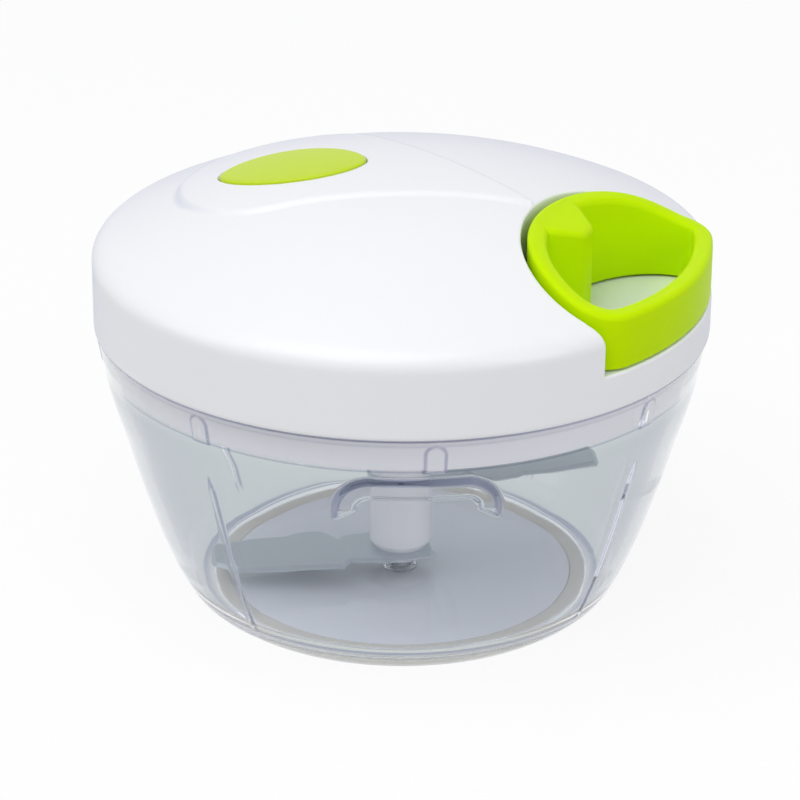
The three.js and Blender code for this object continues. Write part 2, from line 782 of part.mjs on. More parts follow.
/** Cord drum with flanges, drive hub, six-sided socket and arbor. */
function makeDrum() {
  const hubInner = coreRadius - coreWall;
  let drum = cylinder(coreRadius, drumBottom, drumTop, mediumSegments);
  drum = drum.add(cylinder(flangeRadius, drumBottom, drumBottom + flangeThickness, mediumSegments));
  drum = drum.add(cylinder(flangeRadius, drumTop - flangeThickness, drumTop, mediumSegments));
  const hollowBottom = drumBottom + flangeThickness;
  drum = drum.subtract(cylinder(hubInner, hollowBottom, drumTop + cutOverrun, mediumSegments));
  drum = drum.add(cylinder(hubRadius, hubBottom, drumTop, mediumSegments));
  drum = drum.add(cylinder(arborRadius, drumTop - cutOverrun, caseTop + seatGap / 2, mediumSegments));
  const socketTop = driveTop + seatGap + cutOverrun;
  drum = drum.subtract(cylinder(driveCornerRadius + seatGap, hubBottom - cutOverrun, socketTop, driveSides));
  const screwHole = cylinder(
    screwShankRadius, caseTop - arborScrewLength, caseTop + cutOverrun, smallSegments,
  );
  const cordHole = cylinder(
    cordRadius + seatGap, hubInner - cutOverrun, coreRadius + cutOverrun, smallSegments,
  );
  const holeDegrees = THREE.MathUtils.radToDeg(leaveAngle) - 360 * cordTurns;
  return drum
    .subtract(screwHole)
    .subtract(cordHole.rotate([0, 90, 0]).translate([0, 0, windingBottom]).rotate([0, 0, holeDegrees]));
}

/** Points of the cord's winding, from its lower end up to where it leaves the drum. */
function windingPoints() {
  const steps = Math.round(cordTurns * cordStepsPerTurn);
  return Array.from({ length: steps + 1 }, (unused, i) => {
    const turns = (cordTurns * i) / steps;
    const angle = leaveAngle - 2 * Math.PI * (cordTurns - turns);
    return new THREE.Vector3(
      windingRadius * Math.cos(angle), windingRadius * Math.sin(angle), windingBottom + turns * cordPitch,
    );
  });
}

/** Least gap between the winding and itself, measured between its points. */
function leastGap(points) {
  let least = Infinity;
  for (let i = 0; i < points.length; i += 1) {
    for (let j = i + cordStepsPerTurn / 2; j < points.length; j += 1) {
      least = Math.min(least, points[i].distanceTo(points[j]) - 2 * cordRadius);
    }
  }
  return least;
}

/** Round tube along a list of points, closed at both ends. */
function cordTube(points, sides) {
  const path = new THREE.CatmullRomCurve3(points);
  const section = new THREE.Shape(
    new THREE.EllipseCurve(0, 0, cordRadius, cordRadius, 0, 2 * Math.PI).getPoints(sides).slice(0, -1),
  );
  return solidOf(new THREE.ExtrudeGeometry(section, {
    steps: points.length - 1, bevelEnabled: false, extrudePath: path,
  }));
}

/** Cord wound on the drum. */
function makeWinding() {
  const points = windingPoints();
  console.log(`cord winding: ${cordTurns} turns, least gap to itself ${leastGap(points).toFixed(2)} mm`);
  return cordTube(points, cordSides);
}

/** Cord from the drum through the outlet to the ring's knot. */
function makeCordRun() {
  const leave = new THREE.Vector3(
    windingRadius * Math.cos(leaveAngle), windingRadius * Math.sin(leaveAngle), cordHeight,
  );
  const bendStart = new THREE.Vector3(outletApproachX, 0, cordHeight);
  const along = bendStart.clone().sub(leave).normalize();
  const start = leave.clone().addScaledVector(along, 2 * seatGap);
  const end = new THREE.Vector3(ringPostX + knotRadius / 2 - knotRadius - seatGap, 0, cordHeight);
  const corner = new THREE.QuadraticBezierCurve3(
    bendStart.clone().addScaledVector(along, -outletBarrelRadius),
    bendStart,
    new THREE.Vector3(outletApproachX + outletBarrelRadius, 0, cordHeight),
  );
  const points = [start, ...corner.getPoints(bendSteps), end];
  return cordTube(points, cordSides);
}

/** Flat spiral spring between the arbor and the case wall. */
function makeSpring() {
  const bottom = caseBottom + caseCoverThickness + seatGap;
  const innerRadius = arborRadius + seatGap + springThickness / 2;
  const outerRadius = caseOuterRadius - caseWall - seatGap - springThickness / 2;
  const turns = (outerRadius - innerRadius) / springPitch;
  const steps = Math.round(turns * springStepsPerTurn);
  const edge = (offset) => Array.from({ length: steps + 1 }, (unused, i) => {
    const angle = (2 * Math.PI * turns * i) / steps;
    const radius = innerRadius + ((outerRadius - innerRadius) * i) / steps + offset;
    return new THREE.Vector2(radius * Math.cos(angle), radius * Math.sin(angle));
  });
  const outline = [...edge(springThickness / 2), ...edge(-springThickness / 2).reverse()];
  return prism(outline, bottom, bottom + springHeight);
}

/** Round case that holds the spring, with three ears for its screws. */
function makeCase() {
  let body = tube(caseOuterRadius, caseOuterRadius - caseWall, caseBottom, caseTop, mediumSegments);
  body = body.add(tube(
    caseOuterRadius, arborRadius + runningGap, caseTop - caseTopThickness, caseTop, mediumSegments,
  ));
  for (const degrees of earDegrees) {
    const webLength = earPitchRadius - caseOuterRadius + caseWall;
    const web = solidOf(new THREE.BoxGeometry(webLength, 2 * earRadius, earThickness)
      .translate(-webLength / 2, 0, earBottom + earThickness / 2)
      .rotateZ(THREE.MathUtils.degToRad(degrees)));
    const ear = cylinder(earRadius, earBottom, earBottom + earThickness, smallSegments);
    const hole = cylinder(
      caseScrewShankRadius + seatGap, earBottom - cutOverrun,
      earBottom + earThickness + cutOverrun, smallSegments,
    );
    const inside = cylinder(
      caseOuterRadius - caseWall, caseBottom, caseTop - caseTopThickness, mediumSegments,
    );
    const lug = atAngle(ear, earPitchRadius, degrees).add(atAngle(web, earPitchRadius, degrees));
    body = body.add(lug.subtract(inside));
    body = body.subtract(atAngle(hole, earPitchRadius, degrees));
  }
  return body;
}

/** Plate that closes the spring case from below. */
function makeCaseCover() {
  return tube(
    caseOuterRadius - caseWall - seatGap, arborRadius + seatGap,
    caseBottom, caseBottom + caseCoverThickness, mediumSegments,
  );
}

/** Bearing bush between the lid base and the drum's hub. */
function makeDriveBush() {
  const inner = hubRadius + runningGap;
  const barrel = inner + bushWall;
  const flangeTop = baseBottom - seatGap;
  return turned([
    [inner, flangeTop - bushFlangeThickness], [bushFlangeRadius, flangeTop - bushFlangeThickness],
    [bushFlangeRadius, flangeTop], [barrel, flangeTop], [barrel, baseTop], [inner, baseTop],
    [inner, flangeTop - bushFlangeThickness],
  ], mediumSegments);
}

/** Washer that holds the drum up on the spring case. */
function makeWasher() {
  const bottom = caseTop + seatGap;
  return tube(washerRadius, screwShankRadius, bottom, bottom + washerThickness, smallSegments);
}

/** Screw that clamps the washer on the arbor. */
function makeArborScrew() {
  const headBottom = caseTop + 2 * seatGap + washerThickness;
  const shank = caseScrewShankRadius;
  return turned([
    [0, caseTop - arborScrewLength + seatGap], [shank, caseTop - arborScrewLength + seatGap],
    [shank, headBottom], [arborScrewHeadRadius, headBottom],
    [arborScrewHeadRadius, headBottom + arborScrewHeadHeight / 2],
    [arborScrewHeadRadius / 2, headBottom + arborScrewHeadHeight], [0, headBottom + arborScrewHeadHeight],
  ], smallSegments);
}

/** Eyelet that guides the cord out through the pocket's wall. */
function makeOutlet() {
  const flangeBack = pocketTipX + seatGap;
  const inner = outletApproachX + outletBarrelRadius / 2;
  const eyelet = turned([
    [outletHoleRadius, inner], [outletBarrelRadius, inner], [outletBarrelRadius, flangeBack],
    [outletFlangeRadius, flangeBack], [outletFlangeRadius, flangeBack + outletFlangeThickness],
    [outletHoleRadius, flangeBack + outletFlangeThickness], [outletHoleRadius, inner],
  ], smallSegments);
  return eyelet.rotate([0, 90, 0]).translate([0, 0, cordHeight]);
}

// Pull ring

/** Plan outline of the ring, drawn in from its outer face by a distance. */
function ringOutline(inset) {
  const corner = ringCornerRadius;
  const cornerAngle = Math.atan2(ringCornerY, ringCornerX);
  const shape = new THREE.Shape();
  shape.absellipse(
    pocketCentreX, 0, ringDepth - inset, ringHalfWidth - inset, Math.PI / 2, (3 * Math.PI) / 2, false, 0,
  );
  shape.absarc(ringCornerX, -ringCornerY, corner - inset, -Math.PI / 2, -cornerAngle, false);
  shape.absarc(0, 0, ringOuterRadius - inset, -cornerAngle, cornerAngle, false);
  shape.absarc(ringCornerX, ringCornerY, corner - inset, cornerAngle, Math.PI / 2, false);
  return shape.getPoints(ringCurveSteps);
}

/** Solid whose top follows the ring's swept upper edge. */
function ringTopForm() {
  const side = [
    new THREE.Vector2(ringOuterRadius + cutOverrun, ringBottom),
    new THREE.Vector2(ringTipX - cutOverrun, ringBottom),
    new THREE.Vector2(ringTipX - cutOverrun, ringTopOuter + ringTopRise),
  ];
  ringTopShares.slice().reverse().forEach(([along, rise]) => {
    const x = ringOuterRadius - along * (ringOuterRadius - ringTipX);
    side.push(new THREE.Vector2(x, ringTopOuter + ringTopRise * rise));
  });
  side.push(new THREE.Vector2(ringOuterRadius + cutOverrun, ringTopOuter));
  const shape = new THREE.Shape(side);
  const geometry = new THREE.ExtrudeGeometry(shape, { depth: 2 * lidRadius, bevelEnabled: false });
  return solidOf(geometry.translate(0, 0, -lidRadius).rotateX(Math.PI / 2));
}

/** Green pull ring with the cord post at its inner end. */
function makeRing() {
  const top = ringTopOuter + ringTopRise + cutOverrun;
  let ring = prism(ringOutline(0), ringBottom, top);
  ring = ring.subtract(prism(ringOutline(ringWall), ringBottom - cutOverrun, top + cutOverrun));
  const post = ringPostShares.map(([along, across]) => new THREE.Vector2(
    ringPostX + along * ringPostReach, across * ringPostHalfWidth,
  ));
  ring = ring.add(prism(post, ringBottom, top));
  ring = ring.intersect(prism(ringOutline(0), ringBottom, top)).intersect(ringTopForm());
  const cavity = cylinder(
    knotRadius + seatGap, ringBottom - cutOverrun, cordHeight + 2 * knotRadius, smallSegments,
  );
  ring = ring.subtract(cavity.translate([ringPostX + knotRadius / 2, 0, 0]));
  const hole = cylinder(outletHoleRadius, ringTipX - cutOverrun, ringPostX, smallSegments);
  return ring.subtract(hole.rotate([0, 90, 0]).translate([0, 0, cordHeight]));
}

/** Knot of cord as a plain ball. */
function makeKnot(radius, centre) {
  return solidOf(new THREE.SphereGeometry(radius, smallSegments, smallSegments / 2).translate(...centre));
}

// Assembly

const chopper = new THREE.Group();
chopper.name = 'pull_cord_chopper';

chopper.add(meshOf('bowl', makeBowl(), colours.clear));
chopper.add(meshOf('non_slip_foot', makeFoot(), colours.ivory));
chopper.add(meshOf('bowl_pin', makePin(), colours.steel));

chopper.add(meshOf('blade_post', makePost(), colours.white));
chopper.add(meshOf('lower_blade', makeBlade(lowerBladeBottom, lowerBladeReach, 0), colours.steel));
chopper.add(meshOf('upper_blade', makeBlade(upperBladeBottom, upperBladeReach, 180), colours.steel));

chopper.add(meshOf('lid_shell', makeShell(), colours.white));
chopper.add(meshOf('oval_cap', makeCap(), colours.lime));
chopper.add(meshOf('lid_base', makeBase(), colours.white));
chopper.add(meshOf('lid_seal', makeSeal(), colours.seal));
chopper.add(meshOf('drive_bush', makeDriveBush(), colours.acetal));
chopper.add(meshOf('cord_outlet', makeOutlet(), colours.acetal));
chopper.add(meshOf('spring_case', makeCase(), colours.acetal));
chopper.add(meshOf('spring_cover', makeCaseCover(), colours.acetal));
chopper.add(meshOf('return_spring', makeSpring(), colours.spring));
lidScrewDegrees.forEach((degrees, i) => {
  const screw = makeScrew(baseBottom, screwHeadRadius, screwHeadHeight, screwShankRadius, lidScrewLength);
  chopper.add(meshOf(`lid_screw_${i + 1}`, atAngle(screw, screwPitchRadius, degrees), colours.steel));
});
earDegrees.forEach((degrees, i) => {
  const screw = makeScrew(
    earBottom, caseScrewHeadRadius, caseScrewHeadHeight, caseScrewShankRadius, caseScrewLength - 2 * seatGap,
  );
  chopper.add(meshOf(`case_screw_${i + 1}`, atAngle(screw, earPitchRadius, degrees), colours.steel));
});

chopper.add(meshOf('cord_drum', makeDrum(), colours.acetal));
chopper.add(meshOf('wound_cord', makeWinding(), colours.cord));
const drumKnotAngle = leaveAngle - 2 * Math.PI * cordTurns;
const drumKnotAt = coreRadius - coreWall - seatGap - drumKnotRadius;
chopper.add(meshOf('drum_knot', makeKnot(drumKnotRadius, [
  drumKnotAt * Math.cos(drumKnotAngle), drumKnotAt * Math.sin(drumKnotAngle),
  drumBottom + flangeThickness + seatGap + drumKnotRadius,
]), colours.cord));
chopper.add(meshOf('drum_washer', makeWasher(), colours.steel));
chopper.add(meshOf('arbor_screw', makeArborScrew(), colours.steel));

const ringKnotAt = [ringPostX + knotRadius / 2, 0, cordHeight];
chopper.add(meshOf('pull_ring', makeRing(), colours.lime));
chopper.add(meshOf('ring_knot', makeKnot(knotRadius, ringKnotAt), colours.cord));
chopper.add(meshOf('cord_run', makeCordRun(), colours.cord));

export default chopper;
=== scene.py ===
"""Studio picture of a pull-cord food chopper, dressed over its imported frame.

Sizes are in millimetres, +Z up and the pull of the ring along +X, and Mesher turns them into
metres. Each sub-assembly builds its meshes, gives them a finish and hangs them on their body.
"""

from __future__ import annotations

import logging
import math
from dataclasses import dataclass
from enum import Enum
from functools import cache
from typing import Callable, Sequence

import bmesh
import bpy
import numpy as np
from mathutils import Matrix, Vector
from mathutils.geometry import delaunay_2d_cdt

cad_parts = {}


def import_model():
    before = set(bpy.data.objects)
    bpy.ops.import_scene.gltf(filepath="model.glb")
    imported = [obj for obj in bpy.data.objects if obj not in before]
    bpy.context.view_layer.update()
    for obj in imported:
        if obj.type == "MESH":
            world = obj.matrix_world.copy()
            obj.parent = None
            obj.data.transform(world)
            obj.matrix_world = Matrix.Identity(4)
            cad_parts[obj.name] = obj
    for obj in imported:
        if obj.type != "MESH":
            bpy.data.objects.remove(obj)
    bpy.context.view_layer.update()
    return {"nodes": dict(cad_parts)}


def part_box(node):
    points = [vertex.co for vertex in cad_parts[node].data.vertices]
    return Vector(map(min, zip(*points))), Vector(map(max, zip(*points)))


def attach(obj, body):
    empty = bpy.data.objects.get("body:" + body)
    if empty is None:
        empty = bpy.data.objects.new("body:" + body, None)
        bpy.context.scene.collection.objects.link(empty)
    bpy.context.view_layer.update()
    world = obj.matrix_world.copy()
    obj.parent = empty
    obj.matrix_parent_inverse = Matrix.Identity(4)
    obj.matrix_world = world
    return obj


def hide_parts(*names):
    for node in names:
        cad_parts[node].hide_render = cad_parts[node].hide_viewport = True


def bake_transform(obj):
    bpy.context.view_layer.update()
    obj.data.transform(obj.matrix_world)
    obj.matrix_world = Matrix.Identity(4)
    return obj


Array = np.ndarray
Colour = tuple[float, float, float, float]
Pair = tuple[float, float]
Pairs = tuple[Pair, ...]
Profile = list[Pair]
Spots = tuple[Array, Array, Array]
Faces = list[Sequence[int]]
Stands = Callable[[Array, Array], Array]
Inputs = dict[str | int, object]
Section = Sequence[tuple[float, float, bool]]
Piece = bpy.types.Object
Material = bpy.types.Material
Tree = bpy.types.NodeTree
Node = bpy.types.Node
Socket = bpy.types.NodeSocket

LOG = logging.getLogger("chopper")
MM = 0.001
# Point attribute with a share of painted shade: on the edges and steps of the clear bowl, and along the lid's
# leaf crease.
PAINTED_SHADE = "thick"
WALL = "wall"
TAU = 2 * math.pi
TINY = 1e-12
WHITE: Colour = (1, 1, 1, 1)
LEAST_EDGE = 2.1


class Body(Enum):
    """Bodies of the frame that pieces ride on."""

    BOWL = "bowl"
    BLADES = "blades"
    LID = "lid"
    DRUM = "drum"
    HANDLE = "handle"


def linear(*display: int) -> Colour:
    """Turns a display colour, 0 to 255, into the linear one that shaders take."""
    parts = np.array(display) / 255
    return (*np.where(parts <= 0.04045, parts / 12.92, ((parts + 0.055) / 1.055) ** 2.4).tolist(), 1.0)


def linked(name: str, data: bpy.types.ID) -> Piece:
    """Makes an object of a mesh, lamp or camera and links it into the scene."""
    made = bpy.data.objects.new(name, data)
    bpy.context.scene.collection.objects.link(made)
    return made


# Curves and distances


def eased(share: Array) -> Array:
    """Smooth step from 0 to 1 as the share goes from 0 to 1."""
    held = np.clip(share, 0, 1)
    return held * held * (3 - 2 * held)


def unit(rows: Array) -> Array:
    """Scales vectors, one a row, to a length of 1."""
    return rows / np.linalg.norm(rows, axis=1)[:, None]


def left_of(rows: Array) -> Array:
    """Turns plan directions, one a row, a quarter turn to the left."""
    return np.column_stack([-rows[:, 1], rows[:, 0]])


def travelled(line: Array) -> Array:
    """Distances along a line to each of its points."""
    return np.concatenate([[0], np.cumsum(np.linalg.norm(np.diff(line, axis=0), axis=1))])


def circle(count: int) -> Array:
    """Evenly spaced angles of a whole turn, in radians."""
    return np.arange(count) * TAU / count


def polar(reach: float | Array, angles: Array) -> Array:
    """Plan points at distances and angles, in radians, from the origin."""
    return np.column_stack([reach * np.cos(angles), reach * np.sin(angles)])


def lifted(plan: Array, height: float | Array) -> Array:
    """Gives plan points a height."""
    return np.column_stack([plan, np.broadcast_to(height, len(plan))])


def turned(plan: Array, degrees: float) -> Array:
    """Turns plan points about the origin."""
    cos, sin = math.cos(math.radians(degrees)), math.sin(math.radians(degrees))
    return plan @ np.array([[cos, sin], [-sin, cos]])


def bent(start: Array, corner: Array, end: Array, t: Array) -> Array:
    """Points, at shares t, of a bend from start to end that heads for the corner."""
    return (1 - t) ** 2 * start + 2 * t * (1 - t) * corner + t * t * end


def quarter_round(radius: float, count: int) -> Profile:
    """Pairs of an inset and a drop along the rounding of an edge, from its side to its top."""
    return [(radius * (1 - math.cos(a)), radius * (1 - math.sin(a))) for a in np.linspace(0, TAU / 4, count)]


def signed_area(outline: Array) -> float:
    """Area of a closed outline, positive where it runs anticlockwise."""
    following = np.roll(outline, -1, axis=0)
    return float(0.5 * np.sum(outline[:, 0] * following[:, 1] - following[:, 0] * outline[:, 1]))


def outward(outline: Array) -> Array:
    """Directions, one a row, that lead out of a closed outline at its points."""
    along = unit(np.roll(outline, -1, axis=0) - np.roll(outline, 1, axis=0))
    return -left_of(along) * np.sign(signed_area(outline))


def smooth_curve(knots: Array, values: Array, at: Array) -> Array:
    """Reads a smooth curve through points.

    Args:
        knots: Rising positions of the points.
        values: Their values.
        at: Positions to read.

    Returns:
        The curve's values there.
    """
    slopes = np.gradient(values, knots)
    low = np.clip(np.searchsorted(knots, at) - 1, 0, len(knots) - 2)
    span = knots[low + 1] - knots[low]
    t = np.clip((at - knots[low]) / span, 0, 1)
    return (
        (2 * t**3 - 3 * t**2 + 1) * values[low]
        + (t**3 - 2 * t**2 + t) * span * slopes[low]
        + (3 * t**2 - 2 * t**3) * values[low + 1]
        + (t**3 - t**2) * span * slopes[low + 1]
    )


def signed_distance(points: Array, outline: Array) -> Array:
    """Measures how far points lie outside a closed outline.

    Args:
        points: Points in the plane, one a row.
        outline: Corners of the outline, one a row.

    Returns:
        Distances, negative inside.
    """
    best = np.full(len(points), np.inf)
    inside = np.zeros(len(points), bool)
    for start, end in zip(outline, np.roll(outline, -1, axis=0)):
        along = end - start
        share = np.clip(((points - start) @ along) / max(along @ along, TINY), 0, 1)
        best = np.minimum(best, np.hypot(*(points - start - share[:, None] * along).T))
        crosses = (start[1] > points[:, 1]) != (end[1] > points[:, 1])
        rise = along[1] if abs(along[1]) > TINY else TINY
        inside ^= crosses & (points[:, 0] < start[0] + (points[:, 1] - start[1]) * along[0] / rise)
    return np.where(inside, -best, best)


def resampled(outline: Array, step: float, closed: bool = True) -> Array:
    """Spreads points evenly along an outline.

    Args:
        outline: Points of the line, one a row.
        step: Spacing wanted.
        closed: Whether the last point joins the first.

    Returns:
        The new points, without a repeat of the first.
    """
    line = np.vstack([outline, outline[:1]]) if closed else outline
    lengths = travelled(line)
    count = max(int(round(lengths[-1] / step)), 3)
    marks = np.linspace(0, lengths[-1], count + 1)[: count if closed else None]
    return np.column_stack([np.interp(marks, lengths, column) for column in line.T])


def smooth_outline(corners: Sequence[Pair], steps: int) -> Array:
    """Runs a closed smooth line through corners.

    Args:
        corners: Corners of the outline.
        steps: Points for each corner.

    Returns:
        Points of the line, one a row.
    """
    knots = np.array(corners, float)
    before, start, end, after = (np.roll(knots, shift, axis=0)[:, None] for shift in (1, 0, -1, -2))
    t = (np.arange(steps) / steps)[:, None]
    line = (
        2 * start + (end - before) * t + (2 * before - 5 * start + 4 * end - after) * t * t
        + (3 * start - before - 3 * end + after) * t**3
    )
    return 0.5 * line.reshape(-1, 2)


def graded(length: float, step: float, marks: Sequence[Pair], fine: float) -> Array:
    """Spaces positions round a closed length, closer together near marks.

    Args:
        length: The closed length, such as 360 degrees.
        step: Plain spacing.
        marks: Pairs of a centre and how far the close spacing reaches from it.
        fine: Close spacing.

    Returns:
        Rising positions from 0 up to the length.
    """
    positions = np.arange(0, length, step)
    for centre, reach in marks:
        gap = np.abs((positions - centre + length / 2) % length - length / 2)
        close = np.arange(centre - reach, centre + reach, fine) % length
        positions = np.concatenate([positions[gap > reach], close])
    positions = np.sort(positions)
    return positions[np.concatenate([[True], np.diff(positions) > fine / 4])]


def rounded_profile(corners: Sequence[Pair], radius: float, steps: int = 4) -> Profile:
    """Rounds the corners of an open profile.

    Args:
        corners: Points of the profile.
        radius: Radius of the rounding, cut short where an edge is short.
        steps: Points on each rounding.

    Returns:
        The rounded profile.
    """
    knots = np.array(corners, float)
    points = [knots[0]]
    for before, corner, after in zip(knots, knots[1:], knots[2:]):
        spans = [before - corner, after - corner]
        lengths = [np.linalg.norm(span) for span in spans]
        reach = min(radius, *(length / LEAST_EDGE for length in lengths))
        start, end = (corner + span / length * reach for span, length in zip(spans, lengths))
        points.extend(bent(start, corner, end, np.linspace(0, 1, steps + 1)[:, None]))
    return [(float(x), float(y)) for x, y in [*points, knots[-1]]]


class Mesher:
    """Turns points in millimetres into Blender objects."""

    @staticmethod
    def grid(rows: int, columns: int, first: int = 0, loop: bool = False, strip: bool = False) -> Faces:
        """Lists the faces of a grid of points stored row by row.

        Args:
            rows: Number of rows.
            columns: Number of columns.
            first: Index of the grid's first point.
            loop: Whether the last row joins the first.
            strip: Whether the columns stay open, and the last doesn't join the first.

        Returns:
            Four-sided faces.
        """
        faces: Faces = []
        for i in range(rows if loop else rows - 1):
            here, there = first + i * columns, first + ((i + 1) % rows) * columns
            for j in range(columns - 1 if strip else columns):
                k = (j + 1) % columns
                faces.append((here + j, here + k, there + k, there + j))
        return faces

    @staticmethod
    def fan(first: int, count: int, tip: int) -> Faces:
        """Lists the triangles from a closed ring, stored from its first point on, to a tip."""
        return [(first + (j + 1) % count, first + j, tip) for j in range(count)]

    @staticmethod
    def build(
        name: str, points: Array, faces: Faces, material: Material, crease: float = 38.0, weld: float = 0.002,
    ) -> Piece:
        """Makes a smooth-shaded object that keeps its sharp creases.

        Args:
            name: Name of the object.
            points: Points, one a row.
            faces: Faces as lists of indices.
            material: Its finish.
            crease: Angle in degrees from which an edge stays sharp.
            weld: Distance under which points are joined.

        Returns:
            The object, linked into the scene.
        """
        mesh = bpy.data.meshes.new(name)
        mesh.from_pydata((np.asarray(points) * MM).tolist(), [], [list(face) for face in faces])
        work = bmesh.new()
        work.from_mesh(mesh)
        bmesh.ops.remove_doubles(work, verts=work.verts, dist=weld * MM)
        bmesh.ops.dissolve_degenerate(work, edges=work.edges, dist=weld * MM / 2)
        bmesh.ops.recalc_face_normals(work, faces=work.faces)
        work.to_mesh(mesh)
        work.free()
        mesh.shade_smooth()
        mesh.set_sharp_from_angle(angle=math.radians(crease))
        mesh.materials.append(material)
        return linked(name, mesh)

    @staticmethod
    def rings(
        name: str, rings: Sequence[Array], material: Material, loop: bool = False, caps: bool = False,
        crease: float = 38.0, weld: float = 0.002,
    ) -> Piece:
        """Skins rings of points, from the first ring to the last.

        Args:
            name: Name of the object.
            rings: Rings with the same number of points.
            material: Its finish.
            loop: Whether the last ring joins the first.
            caps: Whether a face closes the first ring and the last.
            crease: As for build.
            weld: As for build.

        Returns:
            The object.
        """
        count = len(rings[0])
        faces = Mesher.grid(len(rings), count, loop=loop)
        if caps:
            last = (len(rings) - 1) * count
            faces += [tuple(range(count))[::-1], tuple(range(last, last + count))]
        return Mesher.build(name, np.vstack(rings), faces, material, crease, weld)

    @staticmethod
    def lathe(
        name: str, profile: Sequence[tuple[float | Array, float | Array]], material: Material,
        segments: int = 96, centre: Pair = (0, 0), crease: float = 38.0, rounding: float = 0.0,
    ) -> Piece:
        """Turns a profile about an upright axis.

        Args:
            name: Name of the object.
            profile: Pairs of radius and height, each a number or one for every segment.
            material: Its finish.
            segments: Steps round the axis.
            centre: Place of the axis in the plan.
            crease: As for build.
            rounding: Radius that rounds the profile's corners, if any.

        Returns:
            The object.
        """
        angles = circle(segments)
        profile = rounded_profile(profile, rounding) if rounding else profile
        rings = [lifted(polar(radius, angles) + centre, height) for radius, height in profile]
        return Mesher.rings(name, rings, material, crease=crease)

    @staticmethod
    def relief(
        name: str, rows: Sequence[tuple[float, float, int]], angles: Array, material: Material,
        stands: dict[int, Callable[[Spots], Array]], crease: float = 38.0, weld: float = 0.002,
    ) -> Piece:
        """Turns a profile about the Z axis whose sides stand out by shapes of their own.

        Args:
            name: Name of the object.
            rows: Radius, height and side of the profile's points.
            angles: Angles in degrees.
            material: Its finish.
            stands: How far a side stands out, for the sides that do.
            crease: As for build.
            weld: As for build.

        Returns:
            The object.
        """
        radius, height, side = (np.array([row[i] for row in rows])[:, None] for i in range(3))
        spots = (angles[None, :], radius, height)
        reach = radius + sum(np.where(side == key, shape(spots), 0) for key, shape in stands.items())
        spin = np.radians(angles)
        return Mesher.rings(
            name, [lifted(polar(row, spin), up[0]) for row, up in zip(reach, height)], material,
            crease=crease, weld=weld,
        )

    @staticmethod
    def tube(
        name: str, path: Array, radius: float, material: Material, sides: int,
        twist: float = 0.0, lobes: int = 0, sink: float = 0.0,
    ) -> Piece:
        """Sweeps a round or lobed section along a path and closes both ends.

        Args:
            name: Name of the object.
            path: Points of the centre line, one a row.
            radius: Outer radius.
            material: Its finish.
            sides: Points round the section.
            twist: Turn of the section along each millimetre, in radians.
            lobes: Number of strands that show round the section.
            sink: How far the section sinks between two strands.

        Returns:
            The object.
        """
        tangents = unit(np.gradient(path, axis=0))
        side = np.cross(tangents[0], (0, 0, 1.0))
        angles = circle(sides)
        rings = []
        for centre, tangent, distance in zip(path, tangents, travelled(path)):
            side = side - (side @ tangent) * tangent
            side /= np.linalg.norm(side)
            strand = 0.5 - 0.5 * np.cos(lobes * (angles + twist * distance))
            rings.append(centre + polar(radius - sink * strand, angles) @ [side, np.cross(tangent, side)])
        last, tip = (len(path) - 1) * sides, len(path) * sides
        faces = Mesher.grid(len(path), sides) + Mesher.fan(0, sides, tip)
        faces += [face[::-1] for face in Mesher.fan(last, sides, tip + 1)]
        points = np.vstack([*rings, path[:1], path[-1:]])
        return Mesher.build(name, points, faces, material, crease=70)

    @staticmethod
    def rate(piece: Piece, name: str, share: Callable[[Array], Array]) -> None:
        """Stores a share, read at each point of a piece, for the piece's shader."""
        spots = np.array([tuple(vertex.co) for vertex in piece.data.vertices]) / MM
        piece.data.attributes.new(name, "FLOAT", "POINT").data.foreach_set("value", share(spots))


# Shader nodes


class Nodes:
    """A node tree, with short ways to add nodes and to feed them."""

    def __init__(self, tree: Tree) -> None:
        """Takes up a tree."""
        self.tree = tree

    def feed(self, node: Node, values: Inputs) -> None:
        """Links sockets to a node's inputs, or gives the inputs plain values.

        Args:
            node: The node.
            values: A socket or a value for each input.
        """
        for key, value in values.items():
            if isinstance(value, Socket):
                self.tree.links.new(value, node.inputs[key])
            else:
                node.inputs[key].default_value = value

    def add(self, kind: str, values: Inputs | None = None, **settings: object) -> Node:
        """Adds a node.

        Args:
            kind: Node type after "ShaderNode".
            values: What feeds its inputs.
            settings: Its properties.

        Returns:
            The node.
        """
        node = self.tree.nodes.new(f"ShaderNode{kind}")
        for key, value in settings.items():
            setattr(node, key, value)
        self.feed(node, values or {})
        return node

    def maths(self, operation: str, first: object, second: object) -> Socket:
        """Adds one sum of numbers or sockets and returns its output."""
        return self.add("Math", {0: first, 1: second}, operation=operation).outputs[0]

    def mix(self, share: object, first: object, second: object, kind: str = "MIX") -> Socket:
        """Mixes two colours by a share of the second and returns the output."""
        values = {0: share, 6: first, 7: second}
        return self.add("Mix", values, data_type="RGBA", blend_type=kind).outputs[2]

    def group(self, shared: Tree, values: Inputs) -> dict[str, Socket]:
        """Places a shared group with its own values and returns its outputs by name."""
        node = self.add("Group", node_tree=shared)
        self.feed(node, values)
        return {out.name: out for out in node.outputs}

    def surface(self, output: Node, share: object, first: Node, second: Node) -> None:
        """Mixes two shaders, by a share of the second, into an output."""
        mixed = self.add("MixShader", {0: share, 1: first.outputs[0], 2: second.outputs[0]})
        self.feed(output, {"Surface": mixed.outputs[0]})


